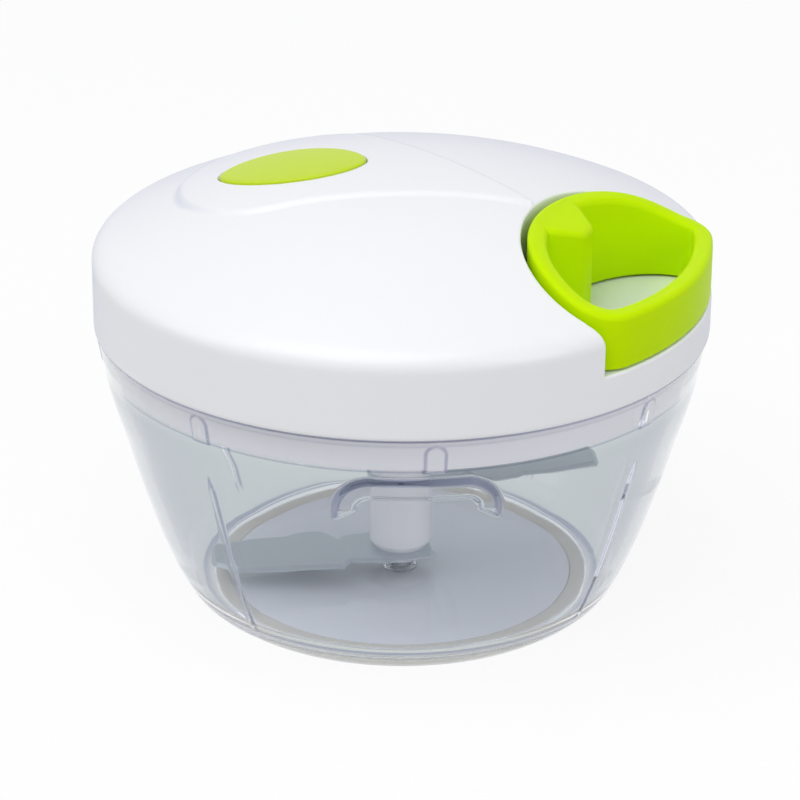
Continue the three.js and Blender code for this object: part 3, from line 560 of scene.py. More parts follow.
class SharedGroup(Nodes):
    """A shader node group that is built once and placed in many materials."""

    def __init__(self, name: str, inputs: Inputs, outputs: Sequence[str]) -> None:
        """Starts a group with its sockets.

        Args:
            name: Name of the group.
            inputs: Its inputs, each with the number or colour that it has when nothing is linked.
            outputs: Its outputs, which are numbers but for Color.
        """
        super().__init__(bpy.data.node_groups.new(name, "ShaderNodeTree"))
        face = self.tree.interface
        for label, value in inputs.items():
            kind = "NodeSocketFloat" if isinstance(value, float) else "NodeSocketColor"
            face.new_socket(name=label, in_out="INPUT", socket_type=kind).default_value = value
        for label in outputs:
            kind = "NodeSocketColor" if label == "Color" else "NodeSocketFloat"
            face.new_socket(name=label, in_out="OUTPUT", socket_type=kind)
        self.given = self.tree.nodes.new("NodeGroupInput").outputs
        self.result = self.tree.nodes.new("NodeGroupOutput")


@cache
def moulding_skin() -> Tree:
    """Builds the skin of a moulded piece: fine grain, slow ripple and handling smudges.

    Returns:
        A group that gives a tone, a roughness and a height.
    """
    inputs = {
        "Grain Scale": 2200.0, "Ripple Scale": 60.0, "Grain Share": 0.4, "Base Roughness": 0.3,
        "Smudge": 0.08,
    }
    group = SharedGroup("moulding_skin", inputs, ("Tone", "Roughness", "Height"))
    given, spot = group.given, group.add("TexCoord").outputs["Object"]
    grain, ripple, smudge = (
        group.add("TexNoise", {"Vector": spot, **values}).outputs["Fac"]
        for values in (
            {"Scale": given["Grain Scale"], "Detail": 3.0, "Roughness": 0.6},
            {"Scale": given["Ripple Scale"], "Detail": 1.0, "Roughness": 0.4},
            {"Scale": 85.0, "Detail": 5.0, "Roughness": 0.65, "Distortion": 0.8},
        )
    )
    spread = group.maths("MULTIPLY", group.maths("SUBTRACT", smudge, 0.5), given["Smudge"])
    roughness = group.maths("ADD", spread, given["Base Roughness"])
    height = group.maths("ADD", group.maths("MULTIPLY", grain, given["Grain Share"]), ripple)
    group.feed(group.result, {"Tone": smudge, "Roughness": roughness, "Height": height})
    return group.tree


@cache
def pale_edges_and_corner_shade() -> Tree:
    """Builds a tone that is lighter on sharp edges and darker in corners, where the darkening is painted
    shade.

    Returns:
        A group that turns a colour into one with lighter edges and corners darkened by painted shade.
    """
    plain, corner = (0.8, 0.8, 0.8, 1), (0.5, 0.5, 0.5, 1)
    inputs = {"Color": plain, "Edge Color": WHITE, "Corner Shade Color": corner, "Amount": 0.5}
    group = SharedGroup("pale_edges_and_corner_shade", inputs, ("Color",))
    tone, point = group.given["Color"], group.add("NewGeometry").outputs["Pointiness"]
    # Pointiness lightens convex edges and puts painted shade into concave corners.
    for other, low, high in (("Edge Color", 0.53, 0.62), ("Corner Shade Color", 0.47, 0.38)):
        share = group.add("MapRange", {"Value": point, "From Min": low, "From Max": high}).outputs[0]
        share = group.maths("MULTIPLY", share, group.given["Amount"])
        tone = group.mix(share, tone, group.given[other])
    group.feed(group.result, {"Color": tone})
    return group.tree


@cache
def brushed_lines() -> Tree:
    """Builds the fine lines of brushed or rolled metal.

    Returns:
        A group that gives a tone, a roughness and a height.
    """
    inputs = {"Along": 30.0, "Across": 2500.0, "Turn": 0.0, "Base Roughness": 0.3}
    group = SharedGroup("brushed_lines", inputs, ("Tone", "Roughness", "Height"))
    given, spot = group.given, group.add("TexCoord").outputs["Object"]
    facing = group.add("VectorRotate", {"Vector": spot, "Angle": given["Turn"]}, rotation_type="Z_AXIS")
    stretch = group.add("CombineXYZ", {"X": given["Along"], "Y": given["Across"], "Z": given["Across"]})
    scaled = group.add("VectorMath", {0: facing.outputs[0], 1: stretch.outputs[0]}, operation="MULTIPLY")
    noise = {"Vector": scaled.outputs[0], "Scale": 1.0, "Detail": 4.0, "Roughness": 0.7}
    lines = group.add("TexNoise", noise).outputs["Fac"]
    spread = group.maths("MULTIPLY", group.maths("SUBTRACT", lines, 0.5), 0.22)
    roughness = group.maths("ADD", spread, given["Base Roughness"])
    group.feed(group.result, {"Tone": lines, "Roughness": roughness, "Height": lines})
    return group.tree


class MaterialNodes(Nodes):
    """The nodes of a material, which starts with a Principled shader."""

    def __init__(self, material: Material) -> None:
        """Takes up a material's tree, its shader and its output."""
        material.use_nodes = True
        super().__init__(material.node_tree)
        self.shader, self.output = (self.tree.nodes[name] for name in ("Principled BSDF", "Material Output"))

    def bump(self, height: Socket, strength: float, depth: float) -> None:
        """Feeds a height, of which 1 is a depth in metres, into the shader's normal."""
        made = self.add("Bump", {"Strength": strength, "Distance": depth, "Height": height})
        self.feed(self.shader, {"Normal": made.outputs[0]})

    def grazing(self, power: float, amount: float) -> Socket:
        """Rates how edge-on the surface is seen, up to an amount at its outline."""
        facing = self.add("LayerWeight", {"Blend": 0.5}).outputs["Facing"]
        return self.maths("MULTIPLY", self.maths("POWER", facing, power), amount)


# Finishes


@dataclass(frozen=True)
class Finish:
    """What all finishes share: a name, a colour and a way to make the material."""

    name: str
    colour: Colour

    def material(self) -> Material:
        """Makes the material.

        Returns:
            The material with all its nodes.
        """
        made = bpy.data.materials.new(self.name)
        nodes = MaterialNodes(made)
        nodes.feed(nodes.shader, {"Base Color": self.colour})
        self.fill(nodes)
        return made

    def fill(self, nodes: MaterialNodes) -> None:
        """Adds the finish's own nodes."""
        raise NotImplementedError(self.name)


@dataclass(frozen=True)
class MouldedPlastic(Finish):
    """Opaque moulded plastic or rubber with a fine skin, lighter sharp edges and painted shade in its
    corners, and, where set, painted shade at its outline and along its creases.
    """

    # Colours and amount of the lighter sharp edges and of the painted shade in corners; the corner colour
    # also tints the mottle.
    edge: Colour = WHITE
    corner: Colour = (0.5, 0.5, 0.5, 1)
    edge_and_corner_shade: float = 0.35
    roughness: float = 0.3
    grain: float = 0.4
    depth: float = 0.00002
    strength: float = 0.25
    mottle: float = 0.03
    glow: float = 0.0
    glow_reach: float = 0.002
    coat: float = 0.0
    coat_roughness: float = 0.08
    gloss: float = 0.5
    ior: float = 1.49
    # Painted shade towards the outline, where the surface is seen edge-on, and along the creases stored on
    # the piece.
    outline_shade: float = 0.0
    outline_shade_power: float = 5.0
    outline_shade_tone: Colour = linear(196, 199, 222)

    def fill(self, nodes: MaterialNodes) -> None:
        """Adds the skin, the lighter edges with painted shade in corners, the painted shade at the outline
        and along creases, and the glow.

        Args:
            nodes: Nodes of the material.
        """
        skin = nodes.group(moulding_skin(), {"Grain Share": self.grain, "Base Roughness": self.roughness})
        mottle = nodes.maths("MULTIPLY", skin["Tone"], self.mottle)
        mottled = nodes.mix(mottle, self.colour, self.corner, "MULTIPLY")
        # Lighter sharp edges and painted shade in corners.
        edge_and_shade_inputs = {"Color": mottled, "Edge Color": self.edge, "Corner Shade Color": self.corner, "Amount": self.edge_and_corner_shade}
        tone = nodes.group(pale_edges_and_corner_shade(), edge_and_shade_inputs)["Color"]
        # Painted shade at the outline and along the stored creases.
        if self.outline_shade:
            crease = nodes.add("Attribute", attribute_name=PAINTED_SHADE).outputs["Fac"]
            share = nodes.maths("MAXIMUM", crease, nodes.grazing(self.outline_shade_power, self.outline_shade))
            tone = nodes.mix(share, tone, self.outline_shade_tone)
        values = {
            "Base Color": tone, "Roughness": skin["Roughness"], "IOR": self.ior,
            "Specular IOR Level": self.gloss, "Coat Weight": self.coat, "Coat Roughness": self.coat_roughness,
        }
        if self.glow:
            values["Subsurface Weight"] = self.glow
            values["Subsurface Radius"] = self.colour[:3]
            values["Subsurface Scale"] = self.glow_reach
        nodes.feed(nodes.shader, values)
        nodes.bump(skin["Height"], self.strength, self.depth)


@dataclass(frozen=True)
class ClearPlastic(Finish):
    """Clear moulded plastic that lamps shine through, with painted shade along its edges and steps and where
    its wall is seen edge-on.
    """

    # Dark lavender of the painted shade.
    line_shade: Colour = (0.305, 0.324, 0.491, 1)
    shade: Colour = (0.99, 0.99, 1.0, 1)
    roughness: float = 0.03
    smudge: float = 0.05
    grain: float = 0.06
    grain_scale: float = 900.0
    ripple_scale: float = 45.0
    strength: float = 0.12
    depth: float = 0.00004
    ior: float = 1.3
    free_depth: float = 1.5
    edge_on_shade_power: float = 2.0
    edge_on_shade: float = 0.55

    def fill(self, nodes: MaterialNodes) -> None:
        """Adds the skin, the painted shade on edges and steps, and the way through for lamps and trapped
        rays.

        Args:
            nodes: Nodes of the material.
        """
        skin = {"Grain Scale": self.grain_scale, "Ripple Scale": self.ripple_scale, "Grain Share": self.grain}
        skin |= {"Base Roughness": self.roughness, "Smudge": self.smudge}
        skin = nodes.group(moulding_skin(), skin)
        # Painted shade from the stored share on edges and steps, and where the wall is seen edge-on.
        thick, wall = (nodes.add("Attribute", attribute_name=name).outputs["Fac"] for name in (PAINTED_SHADE, WALL))
        edge_on = nodes.maths("MULTIPLY", nodes.grazing(self.edge_on_shade_power, self.edge_on_shade), wall)
        body = nodes.mix(nodes.maths("MAXIMUM", thick, edge_on), self.colour, self.line_shade)
        values = {"Base Color": body, "Roughness": skin["Roughness"], "Transmission Weight": 1.0}
        nodes.feed(nodes.shader, {**values, "IOR": self.ior})
        nodes.bump(skin["Height"], self.strength, self.depth)
        path = nodes.add("LightPath").outputs
        lamp_or_wall = nodes.maths("MAXIMUM", path["Is Shadow Ray"], path["Is Diffuse Ray"])
        trapped = nodes.maths("GREATER_THAN", path["Glossy Depth"], self.free_depth)
        through = nodes.add("BsdfTransparent", {"Color": self.shade})
        nodes.surface(nodes.output, nodes.maths("MAXIMUM", lamp_or_wall, trapped), nodes.shader, through)


@dataclass(frozen=True)
class BrushedMetal(Finish):
    """Steel with fine lines from brushing or rolling."""

    roughness: float = 0.3
    turn: float = 0.0
    low_tone: float = 0.82
    strength: float = 0.3
    depth: float = 0.00001

    def fill(self, nodes: MaterialNodes) -> None:
        """Adds the lines.

        Args:
            nodes: Nodes of the material.
        """
        values = {"Turn": math.radians(self.turn), "Base Roughness": self.roughness}
        lines = nodes.group(brushed_lines(), values)
        low = (*(self.low_tone * part for part in self.colour[:3]), 1)
        tone = nodes.mix(lines["Tone"], low, self.colour)
        nodes.feed(nodes.shader, {"Base Color": tone, "Roughness": lines["Roughness"], "Metallic": 1.0})
        nodes.bump(lines["Height"], self.strength, self.depth)


@dataclass(frozen=True)
class BraidedCord(Finish):
    """Pale braided cord whose strands cross in small diamonds."""

    # Tone towards the gaps between the strands: painted shade in the weave.
    strand: Colour = (0.6, 0.6, 0.58, 1)
    roughness: float = 0.85
    sheen: float = 0.2

    def fill(self, nodes: MaterialNodes) -> None:
        """Adds the weave, darkened towards the gaps between strands by painted shade, and its fray.

        Args:
            nodes: Nodes of the material.
        """
        spot = nodes.add("TexCoord").outputs["Object"]
        weave = {"Vector": spot, "Scale": 1400.0}
        gap = nodes.add("TexVoronoi", weave, feature="F1", distance="CHEBYCHEV").outputs["Distance"]
        fray = nodes.add("TexNoise", {"Vector": spot, "Scale": 5200.0, "Detail": 2.0}).outputs["Fac"]
        # Darker towards the gaps between the strands, a painted shade.
        tone = nodes.mix(gap, self.colour, self.strand)
        values = {"Base Color": tone, "Roughness": self.roughness, "Sheen Weight": self.sheen}
        nodes.feed(nodes.shader, values)
        nodes.bump(nodes.maths("SUBTRACT", nodes.maths("MULTIPLY", fray, 0.4), gap), 0.5, 0.0001)


class Look(Enum):
    """The finishes of the whole chopper."""

    CLEAR = ClearPlastic("clear_plastic", linear(248, 249, 252))
    # Each moulded finish's corner colour is painted shade in its corners; this one also has lavender painted
    # shade at the outline and along the lid's crease.
    WHITE = MouldedPlastic(
        "white_plastic", linear(246, 247, 249), corner=linear(178, 182, 206), roughness=0.34,
        coat=0.15, mottle=0.02, edge_and_corner_shade=0.7, outline_shade=0.9,
    )
    COLLAR = MouldedPlastic(
        "collar_plastic", linear(252, 252, 254), corner=linear(228, 230, 240), roughness=0.42,
    )
    LIME = MouldedPlastic(
        "lime_plastic", linear(205, 243, 0), edge=linear(218, 246, 50), corner=linear(150, 206, 0),
        roughness=0.4, glow=0.12, edge_and_corner_shade=0.3, mottle=0.08, gloss=0.04,
    )
    CAP = MouldedPlastic(
        "cap_plastic", linear(202, 226, 50), edge=linear(230, 242, 120), corner=linear(150, 190, 10),
        roughness=0.34, edge_and_corner_shade=0.5, mottle=0.08, gloss=0.12,
    )
    IVORY = MouldedPlastic(
        "ivory_rubber", linear(228, 227, 214), edge=linear(234, 232, 222), corner=linear(200, 197, 182),
        roughness=0.72, grain=0.9, strength=0.5, mottle=0.2,
    )
    DISC = MouldedPlastic(
        "disc_rubber", linear(242, 246, 248), edge=linear(244, 248, 250), corner=linear(200, 206, 214),
        roughness=0.6, grain=0.7, mottle=0.12,
    )
    SEAL = MouldedPlastic(
        "seal_rubber", linear(226, 226, 232), corner=linear(190, 190, 200), roughness=0.6, grain=0.7,
    )
    ACETAL = MouldedPlastic(
        "bearing_plastic", linear(222, 224, 228), corner=linear(180, 182, 190), roughness=0.48,
    )
    STEEL = BrushedMetal("steel", (0.6, 0.62, 0.65, 1), roughness=0.34)
    BLADE = BrushedMetal("blade_steel", (0.63, 0.69, 0.73, 1), roughness=0.4, turn=-23.6)
    SPRING = BrushedMetal("spring_steel", (0.42, 0.44, 0.48, 1))
    CORD = BraidedCord("cord", linear(240, 239, 234))


Palette = dict[Look, Material]


def place(piece: Piece, body: Body, slot: str, *nodes: str) -> None:
    """Hangs a finished piece on its body and lets it stand for nodes of the frame.

    Args:
        piece: The piece.
        body: Body that carries it.
        slot: Name of a material slot; not used.
        nodes: Nodes that it stands for.
    """
    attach(piece, body.value)
    if nodes:
        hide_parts(*nodes)
    LOG.info("%s: %d faces on %s", piece.name, len(piece.data.polygons), body.value)


# Bowl


@dataclass
class Bowl:
    """Clear bowl on its soft foot, with ribs, tabs, channels and finger ledges.

    Each *_stands method reads how far a feature stands out of the wall, from distances along the
    wall from the feature's middle and from heights.
    """

    palette: Palette
    height: float = 61.0
    rim_radius: float = 63.5
    bottom: float = 1.2
    wall: float = 2.2
    floor_top: float = 4.0
    floor_radius: float = 40.4
    floor_step: float = 0.35
    floor_flare: Pair = (2.2, 0.5)
    shares: Pairs = (
        (0.673, 0), (0.709, 0.03), (0.75, 0.1), (0.799, 0.22), (0.857, 0.4), (0.918, 0.62),
        (0.971, 0.82), (0.98, 0.875), (1, 1),
    )
    turn: float = -15.3
    rib_count: int = 4
    rib_width: float = 2.2
    rib_stand: float = 0.3
    rib_edge: float = 0.8
    rib_bottom: float = 6.0
    rib_shoulder: float = 42.0
    rib_top: float = 47.0
    tab_count: int = 8
    tab_width: float = 4.8
    tab_stand: float = 0.3
    tab_bottom: float = 53.5
    tab_top: float = 60.2
    tab_reach: float = 3.4
    rim_stand: float = 0.1
    rim_bottom: float = 59.4
    channel_width: float = 3.6
    channel_depth: float = 0.12
    channel_bottom: float = 53.8
    ledge_count: int = 2
    ledge_turn: float = -48.0
    ledge_width: float = 34.0
    ledge_top: float = 52.6
    ledge_bottom: float = 41.0
    ledge_band: float = 5.0
    ledge_corner: float = 8.0
    ledge_stand: float = 0.9
    ledge_slope: float = 1.8
    ledge_reach: float = 18.0
    edge: float = 0.8
    # Where the clear wall gets painted shade: a band at its foot, the steep slopes of its features, a band
    # under the rim, and a line at the collar's lower edge.
    shade_band: float = 0.8
    shade_slope: float = 0.45
    shade_fade: float = 0.3
    rim_shade_band: float = 0.4
    rim_shade_fade: float = 0.15
    probe: float = 0.15
    shade_line_height: float = 53.4
    shade_line_half: float = 0.2
    shade_line_share: float = 0.9
    foot_outer: float = 40.01
    foot_width: float = 10.0
    foot_web: float = 1.0
    foot_top: float = 3.35
    foot_middle: float = 3.2
    foot_height: float = 2.2
    foot_gap: float = 0.3
    groove_half: float = 1.0
    groove_depth: float = 0.6
    disc_radius: float = 36.6
    disc_gap: float = 0.12
    disc_lift: float = 0.05
    disc_inset: float = 0.2
    boss_radius: float = 2.9
    boss_top: float = 4.4
    pin_radius: float = 2.0
    pin_bottom: float = 3.4
    pin_top: float = 24.0
    low_steps: Pair = (0.4, 6.0)
    low_rows: int = 9
    end_gap: float = 0.5
    plain_step: float = 1.2
    close_step: float = 0.36
    close_bottom: float = 40.3
    close_angle: float = 0.3
    floor_blend: float = 1.6
    under_rounding: float = 0.25
    rim_rounding: float = 0.2
    floor_rounding: float = 0.9
    foot_rounding: float = 0.3
    disc_rounding: float = 0.2
    pin_rounding: float = 0.7
    foot_segments: int = 160
    pin_segments: int = 32

    def outer_radius(self, heights: Array) -> Array:
        """Reads the outer wall's radius at heights."""
        radii, knots = np.array(self.shares).T * [[self.rim_radius], [self.height - self.bottom]]
        return smooth_curve(self.bottom + knots, radii, heights)

    def inner_radius(self, height: float) -> float:
        """Reads the inner wall's radius at a height."""
        return float(self.outer_radius(np.array([height]))[0]) - self.wall

    def tab_stands(self, side: Array, up: Array) -> Array:
        """Shape of a round-topped tab.

        Args:
            side: Distances along the wall.
            up: Heights.

        Returns:
            How far the wall stands out.
        """
        half = self.tab_width / 2
        head = np.hypot(side, up - (self.tab_top - half)) - half
        body = np.maximum(np.abs(side) - half, self.tab_bottom - up)
        return self.tab_stand * eased(-np.where(up > self.tab_top - half, head, body) / self.edge)

    def rib_stands(self, side: Array, up: Array) -> Array:
        """Shape of a pointed rib.

        Args:
            side: Distances along the wall.
            up: Heights.

        Returns:
            How far the wall stands out.
        """
        share = np.clip((self.rib_top - up) / (self.rib_top - self.rib_shoulder), 0, 1)
        outside = np.maximum(np.abs(side) - share * self.rib_width / 2, self.rib_bottom - up)
        return self.rib_stand * eased(-outside / self.rib_edge) * eased(3 * share)

    def ledge_stands(self, side: Array, up: Array) -> Array:
        """Shape of the arched finger ledge.

        Args:
            side: Distances along the wall.
            up: Heights.

        Returns:
            How far the wall stands out.
        """
        half, corner, band = self.ledge_width / 2, self.ledge_corner, self.ledge_band
        spring_line = self.ledge_top - corner
        across = np.abs(side)
        bend = np.hypot(np.maximum(across - (half - corner), 0), np.maximum(up - spring_line, 0))
        bends = (across > half - corner) & (up > spring_line)
        fade = np.clip((up - self.ledge_bottom) / (spring_line - self.ledge_bottom), 0, 1)
        outer = np.where(bends, bend - corner, np.maximum(across - half, up - self.ledge_top))
        flank = np.maximum(across - (half - band * fade), up - (self.ledge_top - band))
        inner = np.where(bends, bend - (corner - band), flank)
        outside = np.maximum(np.maximum(outer, -inner), self.ledge_bottom - up)
        rise = eased(-outer / self.ledge_slope) * eased(inner / self.edge)
        return np.where(outside < 0, self.ledge_stand * rise, 0) * fade**0.5

    def channel_stands(self, side: Array, up: Array) -> Array:
        """Shape of a lug's channel in the inner wall."""
        outside = np.maximum(np.abs(side) - self.channel_width / 2, self.channel_bottom - up)
        return self.channel_depth * eased(-outside / self.edge)

    def repeated(self, spots: Spots, count: int, start: float, stands: Stands) -> Array:
        """Repeats a feature round the bowl.

        Args:
            spots: Angles in degrees, radii and heights.
            count: Number of repeats.
            start: Angle of the first one in degrees.
            stands: Shape of one feature.

        Returns:
            How far the wall stands out at the spots.
        """
        pitch = 360 / count
        away = (spots[0] - start + pitch / 2) % pitch - pitch / 2
        return stands(np.radians(away) * spots[1], spots[2])

    def channels(self, spots: Spots) -> Array:
        """Reads how far the inner wall is set back at angles in degrees, radii and heights."""
        return self.repeated(spots, self.tab_count, self.turn, self.channel_stands)

    def features(self, spots: Spots) -> Array:
        """Reads how far the outer wall stands out with its rim, tabs, ribs and ledges.

        Args:
            spots: Angles in degrees, radii and heights.

        Returns:
            How far the wall stands out at the spots.
        """
        return (
            self.rim_stand * eased((spots[2] - self.rim_bottom) / self.edge)
            + self.repeated(spots, self.tab_count, self.turn, self.tab_stands)
            + self.repeated(spots, self.rib_count, self.turn, self.rib_stands)
            + self.repeated(spots, self.ledge_count, self.turn + self.ledge_turn, self.ledge_stands)
        )

    def wall_angles(self) -> Array:
        """Spaces the angles of the wall's points, in degrees, close together at its features.

        Returns:
            The angles.
        """
        marks = []
        for count, start, reach in (
            (self.ledge_count, self.turn + self.ledge_turn, self.ledge_reach),
            (self.tab_count, self.turn, self.tab_reach),
        ):
            marks += [((start + i * 360 / count) % 360, reach) for i in range(count)]
        return graded(360, self.plain_step, marks, self.close_angle)

    def wall_heights(self) -> Array:
        """Spaces the heights of the wall's points, close together at its foot and its features.

        Returns:
            The heights.
        """
        low = np.geomspace(*self.low_steps, self.low_rows) - self.low_steps[0] + self.bottom + self.end_gap
        plain = np.arange(low[-1] + 1, self.close_bottom, self.plain_step)
        close = np.arange(self.close_bottom, self.height - self.end_gap, self.close_step)
        return np.concatenate([low, plain, close])

    def make_wall(self) -> Piece:
        """Makes the clear bowl as one closed body.

        Returns:
            The bowl.
        """
        heights = self.wall_heights()
        radii = self.outer_radius(heights)
        lowest = self.floor_top + self.floor_blend
        inner = [(r - self.wall, z) for r, z in zip(radii, heights) if z > lowest]
        middle_top, recess_top = self.foot_height + self.foot_gap, self.foot_top + self.foot_gap
        recess = self.foot_outer + self.foot_gap
        under = rounded_profile(
            [
                (0, middle_top), (self.foot_middle, middle_top), (self.foot_middle, recess_top),
                (recess, recess_top), (recess, self.bottom),
                (self.inner_radius(self.bottom) + self.wall, self.bottom), (radii[0], heights[0]),
            ],
            self.under_rounding,
        )
        rim = rounded_profile(
            [
                (radii[-1], heights[-1]), (self.rim_radius, self.height),
                (self.rim_radius - self.wall, self.height), inner[-1],
            ],
            self.rim_rounding,
        )
        hole, hole_bottom = self.pin_radius + self.foot_gap, self.pin_bottom - self.foot_gap
        flare, rise = self.floor_flare
        floor = rounded_profile(
            [
                inner[0], (self.floor_radius + flare, self.floor_top + rise),
                (self.floor_radius, self.floor_top + self.floor_step), (self.floor_radius, self.floor_top),
                (self.boss_radius, self.floor_top), (self.boss_radius, self.boss_top),
                (hole, self.boss_top), (hole, hole_bottom), (0, hole_bottom),
            ],
            self.floor_rounding,
        )
        rows = (
            [(r, z, 0) for r, z in under[:-1]] + [(r, z, 1) for r, z in zip(radii, heights)]
            + [(r, z, 0) for r, z in rim[1:-1]] + [(r, z, -1) for r, z in inner[::-1]]
            + [(r, z, 0) for r, z in floor[1:]]
        )
        stands = {1: self.features, -1: self.channels}
        wall = Mesher.relief(
            "clear_bowl", rows, self.wall_angles(), self.palette[Look.CLEAR], stands, crease=50, weld=0.001,
        )
        # Stores the share of painted shade, and the part of the wall that gets painted shade where it is seen
        # edge-on.
        Mesher.rate(wall, PAINTED_SHADE, self.thickness)
        Mesher.rate(wall, WALL, self.wall_share)
        return wall

    def wall_share(self, spots: Array) -> Array:
        """Tells the wall below the collar, by a share of 1, from the floor and the rim."""
        inside = np.clip(np.hypot(*spots[:, :2].T) - self.floor_radius, 0, 1)
        return np.clip((self.shade_line_height - spots[:, 2]) / 2, 0, 1) * inside

    def thickness(self, spots: Array) -> Array:
        """Rates the painted shade on the clear wall.

        Args:
            spots: Points of the wall, one a row.

        Returns:
            A share of painted shade, from 0 where the wall is plain to 1 at its edges and steps.
        """
        radii, angles, up = np.hypot(*spots[:, :2].T), np.degrees(np.arctan2(*spots[:, 1::-1].T)), spots[:, 2]
        turn = np.degrees(self.probe / np.maximum(radii, 1.0))
        across, upward = (
            self.features((angles + a * turn, radii, up + b * self.probe))
            - self.features((angles - a * turn, radii, up - b * self.probe))
            for a, b in ((1, 0), (0, 1))
        )
        slope = np.hypot(across, upward) / (2 * self.probe)
        low = (self.bottom + self.shade_band - up) / self.shade_fade
        high = (up - (self.height - self.rim_shade_band)) / self.rim_shade_fade
        share = np.maximum(np.clip(slope / self.shade_slope, 0, 1), np.clip(np.maximum(low, high), 0, 1))
        # Painted shade line on the inner wall, where the collar's lower edge sits.
        line = np.where(np.abs(up - self.shade_line_height) < self.shade_line_half, self.shade_line_share, 0.0)
        return np.where(radii > self.outer_radius(up) - self.wall / 2, share, line)

    def make_foot(self) -> Piece:
        """Makes the soft ring under the bowl, with a groove in its underside.

        Returns:
            The foot.
        """
        inner, outer = self.foot_outer - self.foot_width, self.foot_outer
        web = self.foot_height - self.foot_web
        middle, disc = (inner + outer) / 2, self.disc_radius + self.disc_gap
        corners = [
            (middle, web), (disc, web), (disc, self.foot_top), (outer, self.foot_top), (outer, 0),
            (middle + self.groove_half, 0), (middle + self.groove_half, self.groove_depth),
            (middle - self.groove_half, self.groove_depth), (middle - self.groove_half, 0),
            (inner, 0), (inner, web), (middle, web),
        ]
        finish = self.palette[Look.IVORY]
        return Mesher.lathe("soft_foot", corners, finish, self.foot_segments, rounding=self.foot_rounding)

    def make_disc(self) -> Piece:
        """Makes the thin disc that fills the soft ring.

        Returns:
            The disc.
        """
        low, hole = self.foot_height - self.foot_web + self.disc_lift, self.foot_middle + self.foot_gap
        corners = [
            (0, low), (self.foot_outer - self.foot_width - self.disc_inset, low), (self.disc_radius, low),
            (self.disc_radius, self.foot_top), (hole, self.foot_top), (hole, self.foot_height),
            (0, self.foot_height),
        ]
        finish = self.palette[Look.DISC]
        return Mesher.lathe("foot_disc", corners, finish, self.foot_segments, rounding=self.disc_rounding)

    def make_pin(self) -> Piece:
        """Makes the steel pin with its rounded nose."""
        reach, low, high = self.pin_radius, self.pin_bottom, self.pin_top
        corners, finish = [(0, low), (reach, low), (reach, high), (0, high)], self.palette[Look.STEEL]
        return Mesher.lathe("steel_pin", corners, finish, self.pin_segments, rounding=self.pin_rounding)

    def dress(self) -> None:
        """Builds all pieces of the bowl."""
        place(self.make_wall(), Body.BOWL, "clear_plastic", "bowl")
        place(self.make_foot(), Body.BOWL, "foot_rubber", "non_slip_foot")
        place(self.make_disc(), Body.BOWL, "foot_rubber")
        place(self.make_pin(), Body.BOWL, "steel", "bowl_pin")


# Blade set


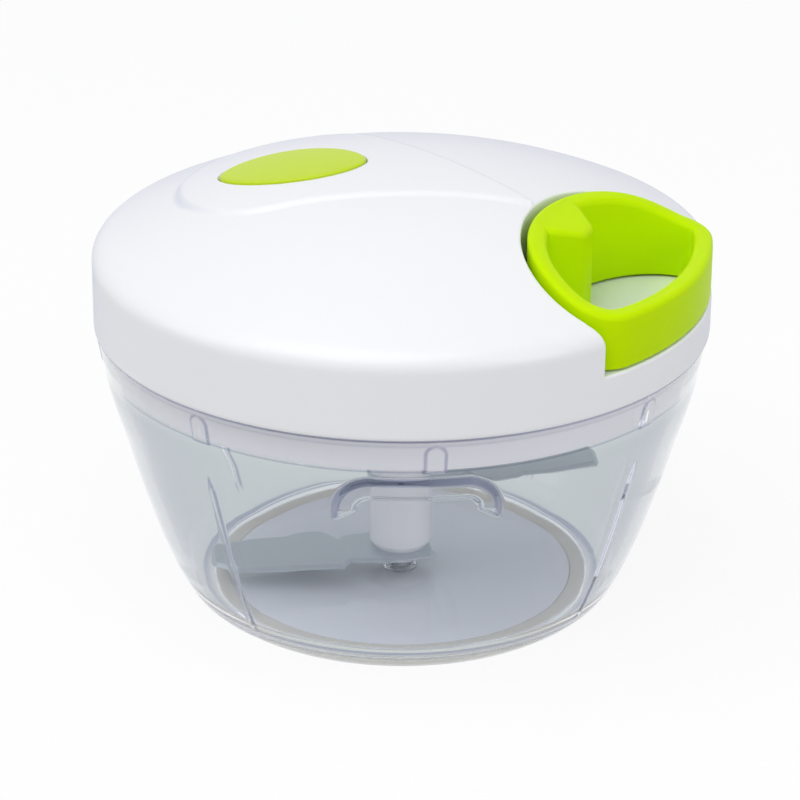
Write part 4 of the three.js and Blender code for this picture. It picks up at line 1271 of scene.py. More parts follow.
@dataclass
class BladeSet:
    """White post with two steel blades."""

    palette: Palette
    reach: float = 41.0
    upper_extra: float = 2.0
    thickness: float = 0.9
    lower_bottom: float = 8.2
    upper_bottom: float = 25.4
    turn: float = 23.6
    bevel: float = 0.8
    bevel_share: float = 0.35
    burr: float = 0.06
    outline: Pairs = (
        (0.145, 0.15), (0.05, 0.176), (-0.06, 0.17), (-0.15, 0.135), (-0.22, 0.11), (-0.3, 0.085),
        (-0.33, 0.045), (-0.37, 0.09), (-0.42, 0.129), (-0.49, 0.124), (-0.58, 0.086), (-0.61, 0.057),
        (-0.76, 0.03), (-0.89, -0.019), (-0.98, -0.05), (-0.99, -0.08), (-0.975, -0.25), (-0.95, -0.29),
        (-0.83, -0.345), (-0.57, -0.325), (-0.33, -0.29), (-0.285, -0.295), (-0.25, -0.22),
        (-0.05, -0.218), (0.165, -0.15), (0.187, -0.11),
    )
    post_bottom: float = 5.9
    post_foot_radius: float = 4.4
    post_radius: float = 6.6
    post_chamfer: float = 1.2
    neck_radius: float = 5.4
    neck_bottom: float = 31.0
    shoulder_top: float = 55.8
    drive_radius: float = 4.6
    drive_sides: int = 6
    drive_top: float = 66.0
    drive_chamfer: float = 0.6
    bore: float = 2.1
    bore_top: float = 24.3
    post_rounding: float = 0.35
    segments: int = 96

    def make_blade(self, name: str, bottom: float, reach: float, turn: float) -> Piece:
        """Makes one blade, ground to a bevel on its upper side.

        Args:
            name: Name of the piece.
            bottom: Height of its lower face.
            reach: Distance from the axis to its tip.
            turn: Turn about the axis in degrees.

        Returns:
            The blade.
        """
        outline = np.array(self.outline) * reach
        outline = outline[::-1] if signed_area(outline) < 0 else outline
        sides = left_of(unit(np.roll(outline, -1, axis=0) - outline))
        before = np.roll(sides, 1, axis=0)
        inward = (sides + before) / (1 + np.sum(sides * before, axis=1))[:, None]
        ground = bottom + self.thickness * self.bevel_share
        levels = ((self.burr, bottom), (0.0, bottom + self.burr), (0.0, ground))
        levels += ((self.bevel, bottom + self.thickness),)
        rings = [lifted(turned(outline + inward * inset, turn), height) for inset, height in levels]
        return Mesher.rings(name, rings, self.palette[Look.BLADE], caps=True, crease=12)

    def make_post(self) -> Piece:
        """Makes the post with its bore, chamfered head and six-sided drive.

        Returns:
            The post.
        """
        chamfer, head = self.post_chamfer, self.lower_bottom + self.thickness
        round_part = rounded_profile(
            [
                (0, self.bore_top), (self.bore, self.bore_top), (self.bore, self.post_bottom),
                (self.post_foot_radius, self.post_bottom), (self.post_foot_radius, self.lower_bottom),
                (self.post_radius - chamfer, self.lower_bottom), (self.post_radius, head + chamfer),
                (self.post_radius, self.neck_bottom), (self.neck_radius, self.neck_bottom + chamfer),
                (self.neck_radius, self.shoulder_top), (self.drive_radius, self.shoulder_top),
            ],
            self.post_rounding,
        )
        sector, cut = TAU / self.drive_sides, self.drive_chamfer
        angles = circle(self.segments) % sector - sector / 2
        flat = self.drive_radius * math.cos(sector / 2) / np.cos(angles)
        drive = [(flat, self.shoulder_top), (flat, self.drive_top - cut), (flat - cut, self.drive_top)]
        profile = [*round_part[:-1], *drive, (0.0, self.drive_top)]
        return Mesher.lathe("drive_post", profile, self.palette[Look.WHITE], self.segments, crease=30)

    def dress(self) -> None:
        """Builds all pieces of the blade set."""
        place(self.make_post(), Body.BLADES, "white_plastic", "blade_post")
        lower = self.make_blade("ground_blade_lower", self.lower_bottom, self.reach, self.turn)
        place(lower, Body.BLADES, "steel", "lower_blade")
        reach = self.reach + self.upper_extra
        upper = self.make_blade("ground_blade_upper", self.upper_bottom, reach, self.turn + 180)
        place(upper, Body.BLADES, "steel", "upper_blade")


# Lid


@dataclass
class Lid:
    """White domed lid with its leaf-shaped rise, oval cap, pocket, base and seal.

    Its face is drawn on a plane first, unrolled from the top along the meridian. Travel is the
    distance from the top along the meridian.
    """

    palette: Palette
    radius: float = 64.0
    bottom: float = 61.12
    wall: float = 2.2
    shoulder_radius: float = 62.8
    shoulder_height: float = 78.2
    dome_rise: float = 14.3
    dome_power: float = 2.2
    bend_reach: float = 2.3
    bend_drop: float = 2.7
    lip: float = 0.45
    leaf_tail: float = -48.0
    leaf_tip: float = 27.0
    leaf_half_width: float = 25.5
    leaf_stand: float = 0.8
    leaf_crease: float = 1.1
    leaf_shares: Pairs = (
        (0, 0), (0.02, 0.37), (0.1, 0.76), (0.24, 0.99), (0.36, 0.99), (0.52, 0.72), (0.8, 0.3), (1, 0.04),
    )
    # Painted shade along the foot of the leaf's edge, strongest on the far side.
    crease_shade_out: float = 0.3
    crease_shade_width: float = 1.8
    crease_shade_strength: float = 0.65
    crease_shade_side: Pair = (-0.5, 0.87)
    crease_shade_from: float = -10.0
    crease_shade_fade: float = 20.0
    cap_centre: Pair = (-23.5, -3.0)
    cap_turn: float = 18.0
    cap_half_length: float = 15.2
    cap_half_width: float = 10.5
    cap_power: float = 0.58
    cap_proud: float = 0.5
    cap_sunk: float = 0.8
    cap_gap: float = 0.3
    cap_points: int = 160
    cap_edge: Pairs = ((0.96, 0.02), (0.975, 0.07), (0.99, 0.18), (1.0, 0.4))
    cap_slope: Pair = (0.12, 0.3)
    pocket_centre: float = 52.0
    pocket_tip: float = 29.1
    pocket_half_width: float = 30.0
    pocket_floor: float = 68.9
    pocket_edge: float = 0.6
    pocket_points: int = 141
    pocket_rows: int = 9
    side_points: int = 45
    dome_points: int = 90
    bend_points: int = 26
    path_step: float = 0.1
    ring_steps: tuple[float, ...] = (1.3, 0.4, 1.4, 0.25)
    ring_counts: tuple[int, int] = (12, 300)
    first_ring: float = 0.7
    shoulder_zone: float = 7.0
    lip_zone: float = 8.0
    leaf_clear: float = 2.3
    cap_clear: float = 1.3
    edge_trust: float = 0.93
    pocket_clear: float = 2.4
    leaf_offsets: tuple[float, ...] = (-1.8, -1.35, -0.9, -0.45, 0.0, 0.45, 0.9, 1.35, 1.8)
    cap_offsets: tuple[float, ...] = (-0.6, 0.0, 0.12, 0.22, 0.32, 0.42, 0.55, 0.9)
    edge_offsets: tuple[float, ...] = (0.03, 0.09, 0.18, 0.3, 0.45, 0.62, 0.8, 1.0, 1.4, 2.0)
    base_bottom: float = 62.2
    base_top: float = 64.2
    collar_bottom: float = 53.4
    collar_thickness: float = 2.0
    collar_gap: float = 0.35
    groove_bottom: float = 59.95
    lug_gap: float = 0.4
    lug_edge: float = 0.35
    seal_thickness: float = 1.9
    seal_height: float = 1.6
    seal_lip: Pair = (0.4, 0.5)
    seal_segments: int = 180
    seal_rounding: float = 0.3
    bush_rounding: float = 0.25
    collar_rounding: float = 0.4
    plate_rounding: float = 0.3
    collar_levels: tuple[float, ...] = (0.6, 0.3, 0.4)
    collar_blend: Pair = (0.5, 0.2)
    hole_gap: float = 2.0
    screw_pitch: float = 46.0
    screw_degrees: tuple[float, ...] = (75, 150, 210, 285)
    bush_inner: float = 7.1
    bush_wall: float = 1.6
    bush_flange: float = 10.6
    bush_flange_thickness: float = 1.0
    fit: float = 0.3

    def __post_init__(self) -> None:
        """Lays out the meridian that the lid's outer face follows."""
        inward, inner = self.shoulder_radius - self.bend_reach, self.radius - self.wall
        radii = np.linspace(0, inward, self.dome_points)
        start = np.array([inward, self.dome_height(inward)])
        slope = (self.dome_height(inward) - self.dome_height(inward - 0.1)) / 0.1
        corner = np.array([self.radius, start[1] + slope * (self.radius - inward)])
        end = corner - [0, self.bend_drop]
        bend = bent(start, corner, end, np.linspace(0, 1, self.bend_points)[1:, None])
        lip = [tuple(end), (self.radius, self.bottom), (inner, self.bottom), (inner, self.base_bottom + 1.5)]
        dome = np.column_stack([radii, self.dome_height(radii)])
        line = np.vstack([dome, bend, rounded_profile(lip, self.lip)[1:]])
        travel = travelled(line)
        self.travel = np.arange(0, travel[-1], self.path_step)
        self.path = np.column_stack([np.interp(self.travel, travel, column) for column in line.T])
        self.widest = int(np.argmax(self.path[:, 0] >= self.radius - 1e-3))
        padded = [np.pad(column, 2, mode="edge") for column in np.gradient(self.path, self.travel, axis=0).T]
        smoothed = [np.convolve(column, np.ones(5) / 5, mode="valid") for column in padded]
        self.normal = left_of(unit(np.column_stack(smoothed)))

    def dome_height(self, radius: float | Array) -> float | Array:
        """Reads the dome's plain height at a radius."""
        share = np.minimum(np.abs(radius) / self.shoulder_radius, 1.0)
        return self.shoulder_height + self.dome_rise * (1 - share**self.dome_power)

    def travel_to_radius(self, radius: float | Array) -> Array:
        """Finds the travel at which the dome has a radius."""
        return np.interp(radius, self.path[: self.widest, 0], self.travel[: self.widest])

    def travel_to_height(self, height: float) -> float:
        """Finds the travel at which the side has a height."""
        side = slice(self.widest, self.widest + int(np.argmin(self.path[self.widest :, 1])))
        return float(np.interp(-height, -self.path[side, 1], self.travel[side]))

    def leaf_outline(self) -> Array:
        """Draws the plan outline of the leaf-shaped rise.

        Returns:
            Points of the outline.
        """
        length = self.leaf_tip - self.leaf_tail
        upper = [(self.leaf_tail + a * length, b * self.leaf_half_width) for a, b in self.leaf_shares]
        return resampled(smooth_outline(upper + [(x, -y) for x, y in upper[:0:-1]], 12), 1.0)

    def cap_outline(self) -> Array:
        """Draws the plan outline of the oval cap.

        Returns:
            Points of the outline.
        """
        angles = circle(self.cap_points)
        across = np.sign(np.sin(angles)) * np.abs(np.sin(angles)) ** (2 * self.cap_power)
        oval = np.column_stack([self.cap_half_length * np.cos(angles), self.cap_half_width * across])
        return turned(oval, self.cap_turn) + np.array(self.cap_centre)

    def unroll(self, plan: Array) -> Array:
        """Lays plan points of the dome on the unrolled face."""
        return polar(self.travel_to_radius(np.hypot(*plan.T)), np.arctan2(plan[:, 1], plan[:, 0]))

    def pocket_border(self) -> tuple[Array, int]:
        """Lays the pocket's border on the unrolled face.

        Returns:
            The closed border, and how many of its points lie round the inner end and the sides.
        """
        t = np.linspace(TAU / 4, 3 * TAU / 4, self.pocket_points)
        depth = self.pocket_centre - self.pocket_tip
        bend = np.column_stack([self.pocket_centre + depth * np.cos(t), self.pocket_half_width * np.sin(t)])
        reach, end = np.hypot(*bend.T), self.travel_to_height(self.pocket_floor)
        side = np.linspace(float(self.travel_to_radius(reach[0])), end, self.side_points + 1)[1:]
        sunk = np.interp(side, self.travel, self.path[:, 0] - self.pocket_edge * self.normal[:, 0])
        angle = np.arcsin(self.pocket_half_width / sunk)
        floor = np.linspace(-angle[-1], angle[-1], 2 * self.side_points)[1:-1]
        travel = np.concatenate([side[::-1], self.travel_to_radius(reach), side, np.full(len(floor), end)])
        angles = np.concatenate([angle[::-1], np.arctan2(bend[:, 1], bend[:, 0]), -angle, floor])
        return polar(travel, angles), len(travel) - len(floor)

    def face_points(self, border: Array) -> Array:
        """Scatters points over the unrolled face, close together where the shape bends.

        Args:
            border: The pocket's border on the unrolled face.

        Returns:
            Points on the unrolled face, the border first.
        """
        leaf, cap = self.leaf_outline(), self.cap_outline()
        fine, plain = [], []
        for outline, offsets in ((leaf, self.leaf_offsets), (resampled(cap, 0.6), self.cap_offsets)):
            for offset in offsets:
                plan = outline + outward(outline) * offset
                fine.append(self.unroll(plan[np.abs(signed_distance(plan, outline)) > abs(offset) - 0.1]))
        last = self.travel[-1]
        shoulder = float(self.travel_to_radius(self.shoulder_radius - self.bend_reach))
        dome, bend, side, lip = self.ring_steps
        zone, lip_start = shoulder + self.shoulder_zone, last - self.lip_zone
        rings = [
            np.arange(self.first_ring, shoulder - bend, dome), np.arange(shoulder, zone, bend),
            np.arange(zone + 1, lip_start - bend, side), np.arange(lip_start, last, lip), [last],
        ]
        for i, ring in enumerate(np.concatenate(rings)):
            count = int(np.clip(TAU * ring / dome, *self.ring_counts))
            plain.append(polar(ring, (np.arange(count) + 0.5 * (i % 2)) * TAU / count))
        plain = np.vstack(plain)
        near_leaf = np.abs(signed_distance(plain, self.unroll(leaf))) < self.leaf_clear
        near_cap = np.abs(signed_distance(plain, self.unroll(cap))) <= self.cap_clear
        rest = np.vstack([plain[~near_leaf & ~near_cap], *fine])
        edges = np.vstack([border + outward(border) * offset for offset in self.edge_offsets])
        least = self.edge_trust * np.repeat(self.edge_offsets, len(border))
        edges = edges[signed_distance(edges, border) > least]
        return np.vstack([border, edges, rest[signed_distance(rest, border) > self.pocket_clear]])

    def roll_up(self, flat: Array, border: Array) -> Array:
        """Folds the unrolled face back to the lid's shape, with all that stands up or sinks in.

        Args:
            flat: Points on the unrolled face.
            border: The pocket's border there.

        Returns:
            Points in space, one a row.
        """
        travel, angles = np.hypot(*flat.T), np.arctan2(flat[:, 1], flat[:, 0])
        radius, height, out, up = (
            np.interp(travel, self.travel, column) for column in (*self.path.T, *self.normal.T)
        )
        plan = polar(radius, angles)
        cap = signed_distance(plan, self.cap_outline())
        stand = self.leaf_stand * eased(0.5 - signed_distance(plan, self.leaf_outline()) / self.leaf_crease)
        start, slope = self.cap_slope
        stand -= (self.cap_sunk + self.cap_gap) * eased((self.cap_gap + start - cap) / slope)
        stand = np.where(travel < self.travel_to_radius(self.shoulder_radius), stand, 0)
        gap = np.clip(self.pocket_edge - np.abs(signed_distance(flat, border)), 0, self.pocket_edge)
        stand -= self.pocket_edge - np.sqrt(self.pocket_edge**2 - gap**2)
        return lifted(polar(radius + out * stand, angles), height + up * stand)

    def make_shell(self) -> Piece:
        """Makes the lid's shell with its pocket.

        Returns:
            The shell.
        """
        border, wrapped = self.pocket_border()
        edges = [(i, (i + 1) % len(border)) for i in range(len(border))]
        flat = [Vector(point) for point in self.face_points(border)]
        made, _, faces, *_ = delaunay_2d_cdt(flat, edges, [], 0, 1e-5)
        made, faces = (np.array([tuple(row) for row in rows]) for rows in (made, faces))
        middles = made[faces].mean(axis=1)
        faces = faces[(signed_distance(middles, border) > 0) & (np.hypot(*middles.T) < self.travel[-1])]
        face, rim = self.roll_up(made, border), self.roll_up(border, border)
        side = self.side_points - 1
        top = rim[:side]
        reached = np.hypot(top[:, 0], top[:, 1]) < self.radius - self.pocket_edge - 0.01
        other = rim[wrapped - side : wrapped][reached[::-1]]
        wall = np.vstack([top[reached], rim[side : wrapped - side], other])
        strips = []
        for share in np.linspace(0, 1, self.pocket_rows):
            strips.append(lifted(wall[:, :2], wall[:, 2] + share * (self.pocket_floor - wall[:, 2])))
        floor = np.vstack([strips[-1], rim[wrapped:]])
        first = len(face) + len(strips) * len(wall)
        all_faces = faces.tolist() + Mesher.grid(len(strips), len(wall), len(face), strip=True)
        all_faces.append(tuple(range(first, first + len(floor))))
        points = np.vstack([face, *strips, floor])
        shell = Mesher.build("domed_lid", points, all_faces, self.palette[Look.WHITE], crease=45, weld=0.01)
        # Stores the painted shade along the leaf's crease.
        Mesher.rate(shell, PAINTED_SHADE, self.painted_crease_shade)
        return shell

    def painted_crease_shade(self, spots: Array) -> Array:
        """Rates the painted shade along the foot of the leaf's edge, strongest on its far side.

        Args:
            spots: Points of the shell, one a row.

        Returns:
            A share that is highest along the far edge.
        """
        outside = signed_distance(spots[:, :2], self.leaf_outline())
        near = np.clip(1 - np.abs(outside - self.crease_shade_out) / self.crease_shade_width, 0, 1)
        away = eased((spots[:, :2] @ np.array(self.crease_shade_side) - self.crease_shade_from) / self.crease_shade_fade)
        return np.where(spots[:, 2] > self.shoulder_height, self.crease_shade_strength * near * away, 0.0)

    def make_cap(self) -> Piece:
        """Makes the plain oval cap with its rounded edge.

        Returns:
            The cap.
        """
        outline, centre = self.cap_outline(), np.array(self.cap_centre)
        proud = self.leaf_stand + self.cap_proud
        levels = [(share, 0.0) for share in np.linspace(0.02, 0.94, 12)]
        levels += [*self.cap_edge, (1.0, self.cap_proud + self.cap_sunk)]
        rings = []
        for share, drop in levels:
            plan = centre + (outline - centre) * share
            rings.append(lifted(plan, self.dome_height(np.hypot(*plan.T)) + proud - drop))
        tip = [*centre, self.dome_height(float(np.hypot(*centre))) + proud]
        count = len(outline)
        faces = Mesher.grid(len(levels), count) + Mesher.fan(0, count, len(levels) * count)
        return Mesher.build("oval_lid_cap", np.vstack([*rings, tip]), faces, self.palette[Look.CAP])

    def make_base(self, bowl: Bowl) -> Piece:
        """Makes the white plate with the collar and its lugs.

        Args:
            bowl: The bowl that the collar drops into.

        Returns:
            The base.
        """
        gap, thick, low_z, high_z = self.collar_gap, self.collar_thickness, self.base_bottom, self.base_top
        groove = bowl.inner_radius(bowl.height) - gap - self.seal_thickness - self.lug_gap
        top, foot = self.groove_bottom - self.fit, bowl.inner_radius(self.collar_bottom) - gap
        plate, hole = self.radius - self.wall - self.fit, self.bush_inner + self.hole_gap
        lead, tail, step = self.collar_levels
        levels = np.arange(self.collar_bottom + lead, top - tail, step)
        blend, sink = self.collar_blend
        outer = [(bowl.inner_radius(z) - gap, z, 1) for z in levels]
        inside = (groove - thick, low_z - sink)
        low = rounded_profile(
            [inside, (foot - thick, self.collar_bottom), (foot, self.collar_bottom), outer[0][:2]],
            self.collar_rounding,
        )
        high = rounded_profile(
            [
                outer[-1][:2], (bowl.inner_radius(top) - gap, top), (groove, top), (groove, low_z),
                (plate, low_z), (plate, high_z), (hole, high_z), (hole, low_z),
                (groove - thick - blend, low_z), inside,
            ],
            self.plate_rounding,
        )
        rows = [(r, z, 0) for r, z in low[:-1]] + outer + [(r, z, 0) for r, z in high[1:]]
        half, start = bowl.channel_width / 2 - self.lug_gap, bowl.channel_bottom + self.lug_gap

        def lug(side: Array, up: Array) -> Array:
            """Shape of a lug."""
            outside = np.maximum(np.abs(side) - half, start - up)
            return (bowl.channel_depth - self.lug_gap + gap) * eased(-outside / self.lug_edge)

        def lugs(spots: Spots) -> Array:
            """Reads how far the collar stands out with its lugs."""
            return bowl.repeated(spots, bowl.tab_count, bowl.turn, lug)

        finish = self.palette[Look.COLLAR]
        return Mesher.relief("lid_base_collar", rows, bowl.wall_angles(), finish, {1: lugs})

    def make_seal(self, bowl: Bowl) -> Piece:
        """Makes the soft seal with two lips.

        Args:
            bowl: The bowl that it seals.

        Returns:
            The seal.
        """
        outer = bowl.inner_radius(self.groove_bottom) - self.fit
        inner = bowl.inner_radius(bowl.height) - self.collar_gap - self.seal_thickness
        low, high = self.groove_bottom, self.groove_bottom + self.seal_height
        middle, (sink, lip) = (low + high) / 2, self.seal_lip
        corners = [
            (inner, middle), (inner, low), (outer, low), (outer, low + lip), (outer - sink, middle),
            (outer, high - lip), (outer, high), (inner, high), (inner, middle),
        ]
        finish = self.palette[Look.SEAL]
        return Mesher.lathe("lid_seal_ring", corners, finish, self.seal_segments, rounding=self.seal_rounding)

    def make_bush(self) -> Piece:
        """Makes the flanged bush round the drum's hub.

        Returns:
            The bush.
        """
        inner, flange, barrel = self.bush_inner, self.bush_flange, self.bush_inner + self.bush_wall
        top = self.base_bottom - self.fit
        low = top - self.bush_flange_thickness
        corners = [
            (inner, top), (inner, low), (flange, low), (flange, top), (barrel, top),
            (barrel, self.base_top), (inner, self.base_top), (inner, top),
        ]
        return Mesher.lathe("flanged_bush", corners, self.palette[Look.ACETAL], rounding=self.bush_rounding)

    def dress(self, bowl: Bowl) -> None:
        """Builds all pieces of the lid.

        Args:
            bowl: The bowl that the lid closes.
        """
        place(self.make_shell(), Body.LID, "white_plastic", "lid_shell")
        place(self.make_cap(), Body.LID, "green_plastic", "oval_cap")
        place(self.make_base(bowl), Body.LID, "white_plastic", "lid_base")
        place(self.make_seal(bowl), Body.LID, "seal_rubber", "lid_seal")
        place(self.make_bush(), Body.LID, "bearing_plastic", "drive_bush")
        for number, degrees in enumerate(self.screw_degrees, 1):
            centre = tuple(polar(self.screw_pitch, np.array([math.radians(degrees)]))[0])
            screw = Screw(self.palette, centre).make(f"pan_screw_{number}")
            place(screw, Body.LID, "steel", f"lid_screw_{number}")


@dataclass
class Screw:
    """Pan-head screw that points upwards, with a cross recess in its head."""

    palette: Palette
    centre: Pair
    face: float = 62.2
    gap: float = 0.3
    head_radius: float = 3.0
    head_height: float = 1.7
    head_edge: float = 0.5
    head_flat: float = 1.9
    shank_radius: float = 1.4
    thread_start: float = 0.8
    thread_pitch: float = 0.7
    thread_depth: float = 0.3
    thread_turns: int = 11
    length: float = 10.0
    tip: float = 1.6
    recess: float = 0.9
    recess_half: float = 0.35
    recess_reach: float = 1.75
    recess_slope: float = 0.25
    recess_rings: tuple[float, ...] = (0.0, 0.5, 0.95, 1.4, 1.7, 1.85)
    tip_radius: float = 0.3
    rounding: float = 0.12
    segments: int = 48

    def make(self, name: str) -> Piece:
        """Makes the screw.

        Args:
            name: Name of the piece.

        Returns:
            The screw.
        """
        low, high, shank = self.face - self.gap - self.head_height, self.face + self.length, self.shank_radius
        seat, pitch = low + self.head_height, self.thread_pitch
        thread = []
        for height in seat + self.thread_start + pitch * np.arange(self.thread_turns):
            thread += [(shank, height), (shank - self.thread_depth, height + pitch / 2)]
        corners = [
            (self.head_flat, low), (self.head_radius, low + self.head_edge), (self.head_radius, seat),
            (shank, seat), *thread, (shank, high - self.tip), (self.tip_radius, high), (0, high),
        ]
        profile = []
        for radius in self.recess_rings:
            x, y = np.abs(polar(radius, circle(self.segments))).T
            arm = (np.minimum(x, y) < self.recess_half) & (radius < self.recess_reach)
            profile.append((radius, low + np.where(arm, self.recess - self.recess_slope * radius, 0.0)))
        profile += rounded_profile(corners, self.rounding, steps=2)
        return Mesher.lathe(name, profile, self.palette[Look.STEEL], self.segments, self.centre, crease=30)


# Pull ring and cord


@dataclass
class PullRing:
    """Lime pull ring with the post that holds the cord.

    A section is a list of an inset, a distance from the edge, and whether that is the upper edge.
    """

    palette: Palette
    pocket_centre: float = 52.0
    outer_radius: float = 63.8
    depth: float = 21.7
    half_width: float = 28.7
    wall: float = 4.0
    corner: float = 7.0
    bottom: float = 69.3
    top_outer: float = 80.0
    top_rise: float = 9.6
    top_shares: Pairs = (
        (0, 0), (0.17, 0.04), (0.3, 0.12), (0.4, 0.21), (0.5, 0.36), (0.62, 0.56), (0.73, 0.72),
        (0.81, 0.82), (0.9, 0.915), (1, 1),
    )
    tip: float = 30.3
    post_x: float = 34.3
    post_reach: float = 6.7
    post_half_width: float = 8.3
    post_shares: Pairs = (
        (-0.3, -1), (0.15, -1), (0.9, -0.42), (1, -0.25), (1, 0.25), (0.9, 0.42), (0.15, 1), (-0.3, 1),
    )
    post_corner: float = 2.6
    post_edge: float = 1.0
    post_low_edge: float = 0.3
    post_spacing: float = 0.35
    edge: float = 1.25
    low_edge: float = 0.5
    flat_shares: tuple[float, ...] = (0.42, 0.5, 0.58)
    bend_points: int = 121
    corner_points: int = 16
    front_points: int = 61

    def outline(self, inset: float) -> Array:
        """Plan outline of the ring, drawn in from its outer face.

        Args:
            inset: Distance drawn in.

        Returns:
            Points of the outline, which match from one inset to the next.
        """
        corner_y = self.half_width - self.corner
        corner_x = math.sqrt((self.outer_radius - self.corner) ** 2 - corner_y**2)
        slant = math.atan2(corner_y, corner_x)
        t = np.linspace(TAU / 4, 3 * TAU / 4, self.bend_points)
        bend = np.array([self.depth - inset, self.half_width - inset]) * polar(1.0, t)
        parts = [bend + [self.pocket_centre, 0]]
        for centre, radius, start, end, count in (
            ((corner_x, -corner_y), self.corner, -TAU / 4, -slant, self.corner_points),
            ((0.0, 0.0), self.outer_radius, -slant, slant, self.front_points),
            ((corner_x, corner_y), self.corner, slant, TAU / 4, self.corner_points),
        ):
            parts.append(polar(radius - inset, np.linspace(start, end, count)[1:]) + centre)
        return np.vstack(parts)[:-1]

    def top(self, x: Array) -> Array:
        """Height of the ring's swept upper edge at distances along the pull.

        Args:
            x: The distances.

        Returns:
            The heights.
        """
        share = (self.outer_radius - x) / (self.outer_radius - self.tip)
        along, rise = (np.array(part, float) for part in zip(*self.top_shares))
        return self.top_outer + self.top_rise * smooth_curve(along, rise, np.clip(share, 0, 1))

    def banded(self, plan_at: Callable[[float], Array], section: Section) -> list[Array]:
        """Lays a section round a plan outline.

        Args:
            plan_at: Outline at an inset.
            section: The section.

        Returns:
            Rings of points.
        """
        rings = []
        for inset, away, upper in section:
            plan = plan_at(inset)
            rings.append(lifted(plan, self.top(plan[:, 0]) - away if upper else self.bottom + away))
        return rings

    def make_ring(self) -> Piece:
        """Makes the ring as one closed band with rounded edges.

        Returns:
            The ring.
        """
        high, low = quarter_round(self.edge, 8), quarter_round(self.low_edge, 4)
        section = [
            *((a, b, True) for a, b in high),
            *((share * self.wall, 0.0, True) for share in self.flat_shares),
            *((self.wall - a, b, True) for a, b in high[::-1]), *((self.wall - a, b, False) for a, b in low),
            *((a, b, False) for a, b in low[::-1]),
        ]
        rings = self.banded(self.outline, section)
        return Mesher.rings("lime_pull_ring", rings, self.palette[Look.LIME], loop=True)

    def make_post(self) -> Piece:
        """Makes the rounded post at the ring's inner end.

        Returns:
            The post.
        """
        corners = [(self.post_x + a * self.post_reach, b * self.post_half_width) for a, b in self.post_shares]
        rounded = np.array(rounded_profile(corners, self.post_corner, steps=8))
        outline = resampled(rounded, self.post_spacing, closed=False)
        inward = left_of(unit(np.gradient(outline, axis=0)))
        edge = quarter_round(self.post_edge, 7)
        section = [(self.post_low_edge, 0.0, False), (0.0, self.post_low_edge, False)]
        section += [*((a, b, True) for a, b in edge), (2 * self.post_edge, 0.0, True)]
        rings = self.banded(lambda inset: outline + inward * inset, section)
        return Mesher.rings("lime_ring_post", rings, self.palette[Look.LIME], caps=True)

    def dress(self) -> None:
        """Builds the ring and its post."""
        place(self.make_ring(), Body.HANDLE, "green_plastic", "pull_ring")
        place(self.make_post(), Body.HANDLE, "green_plastic")


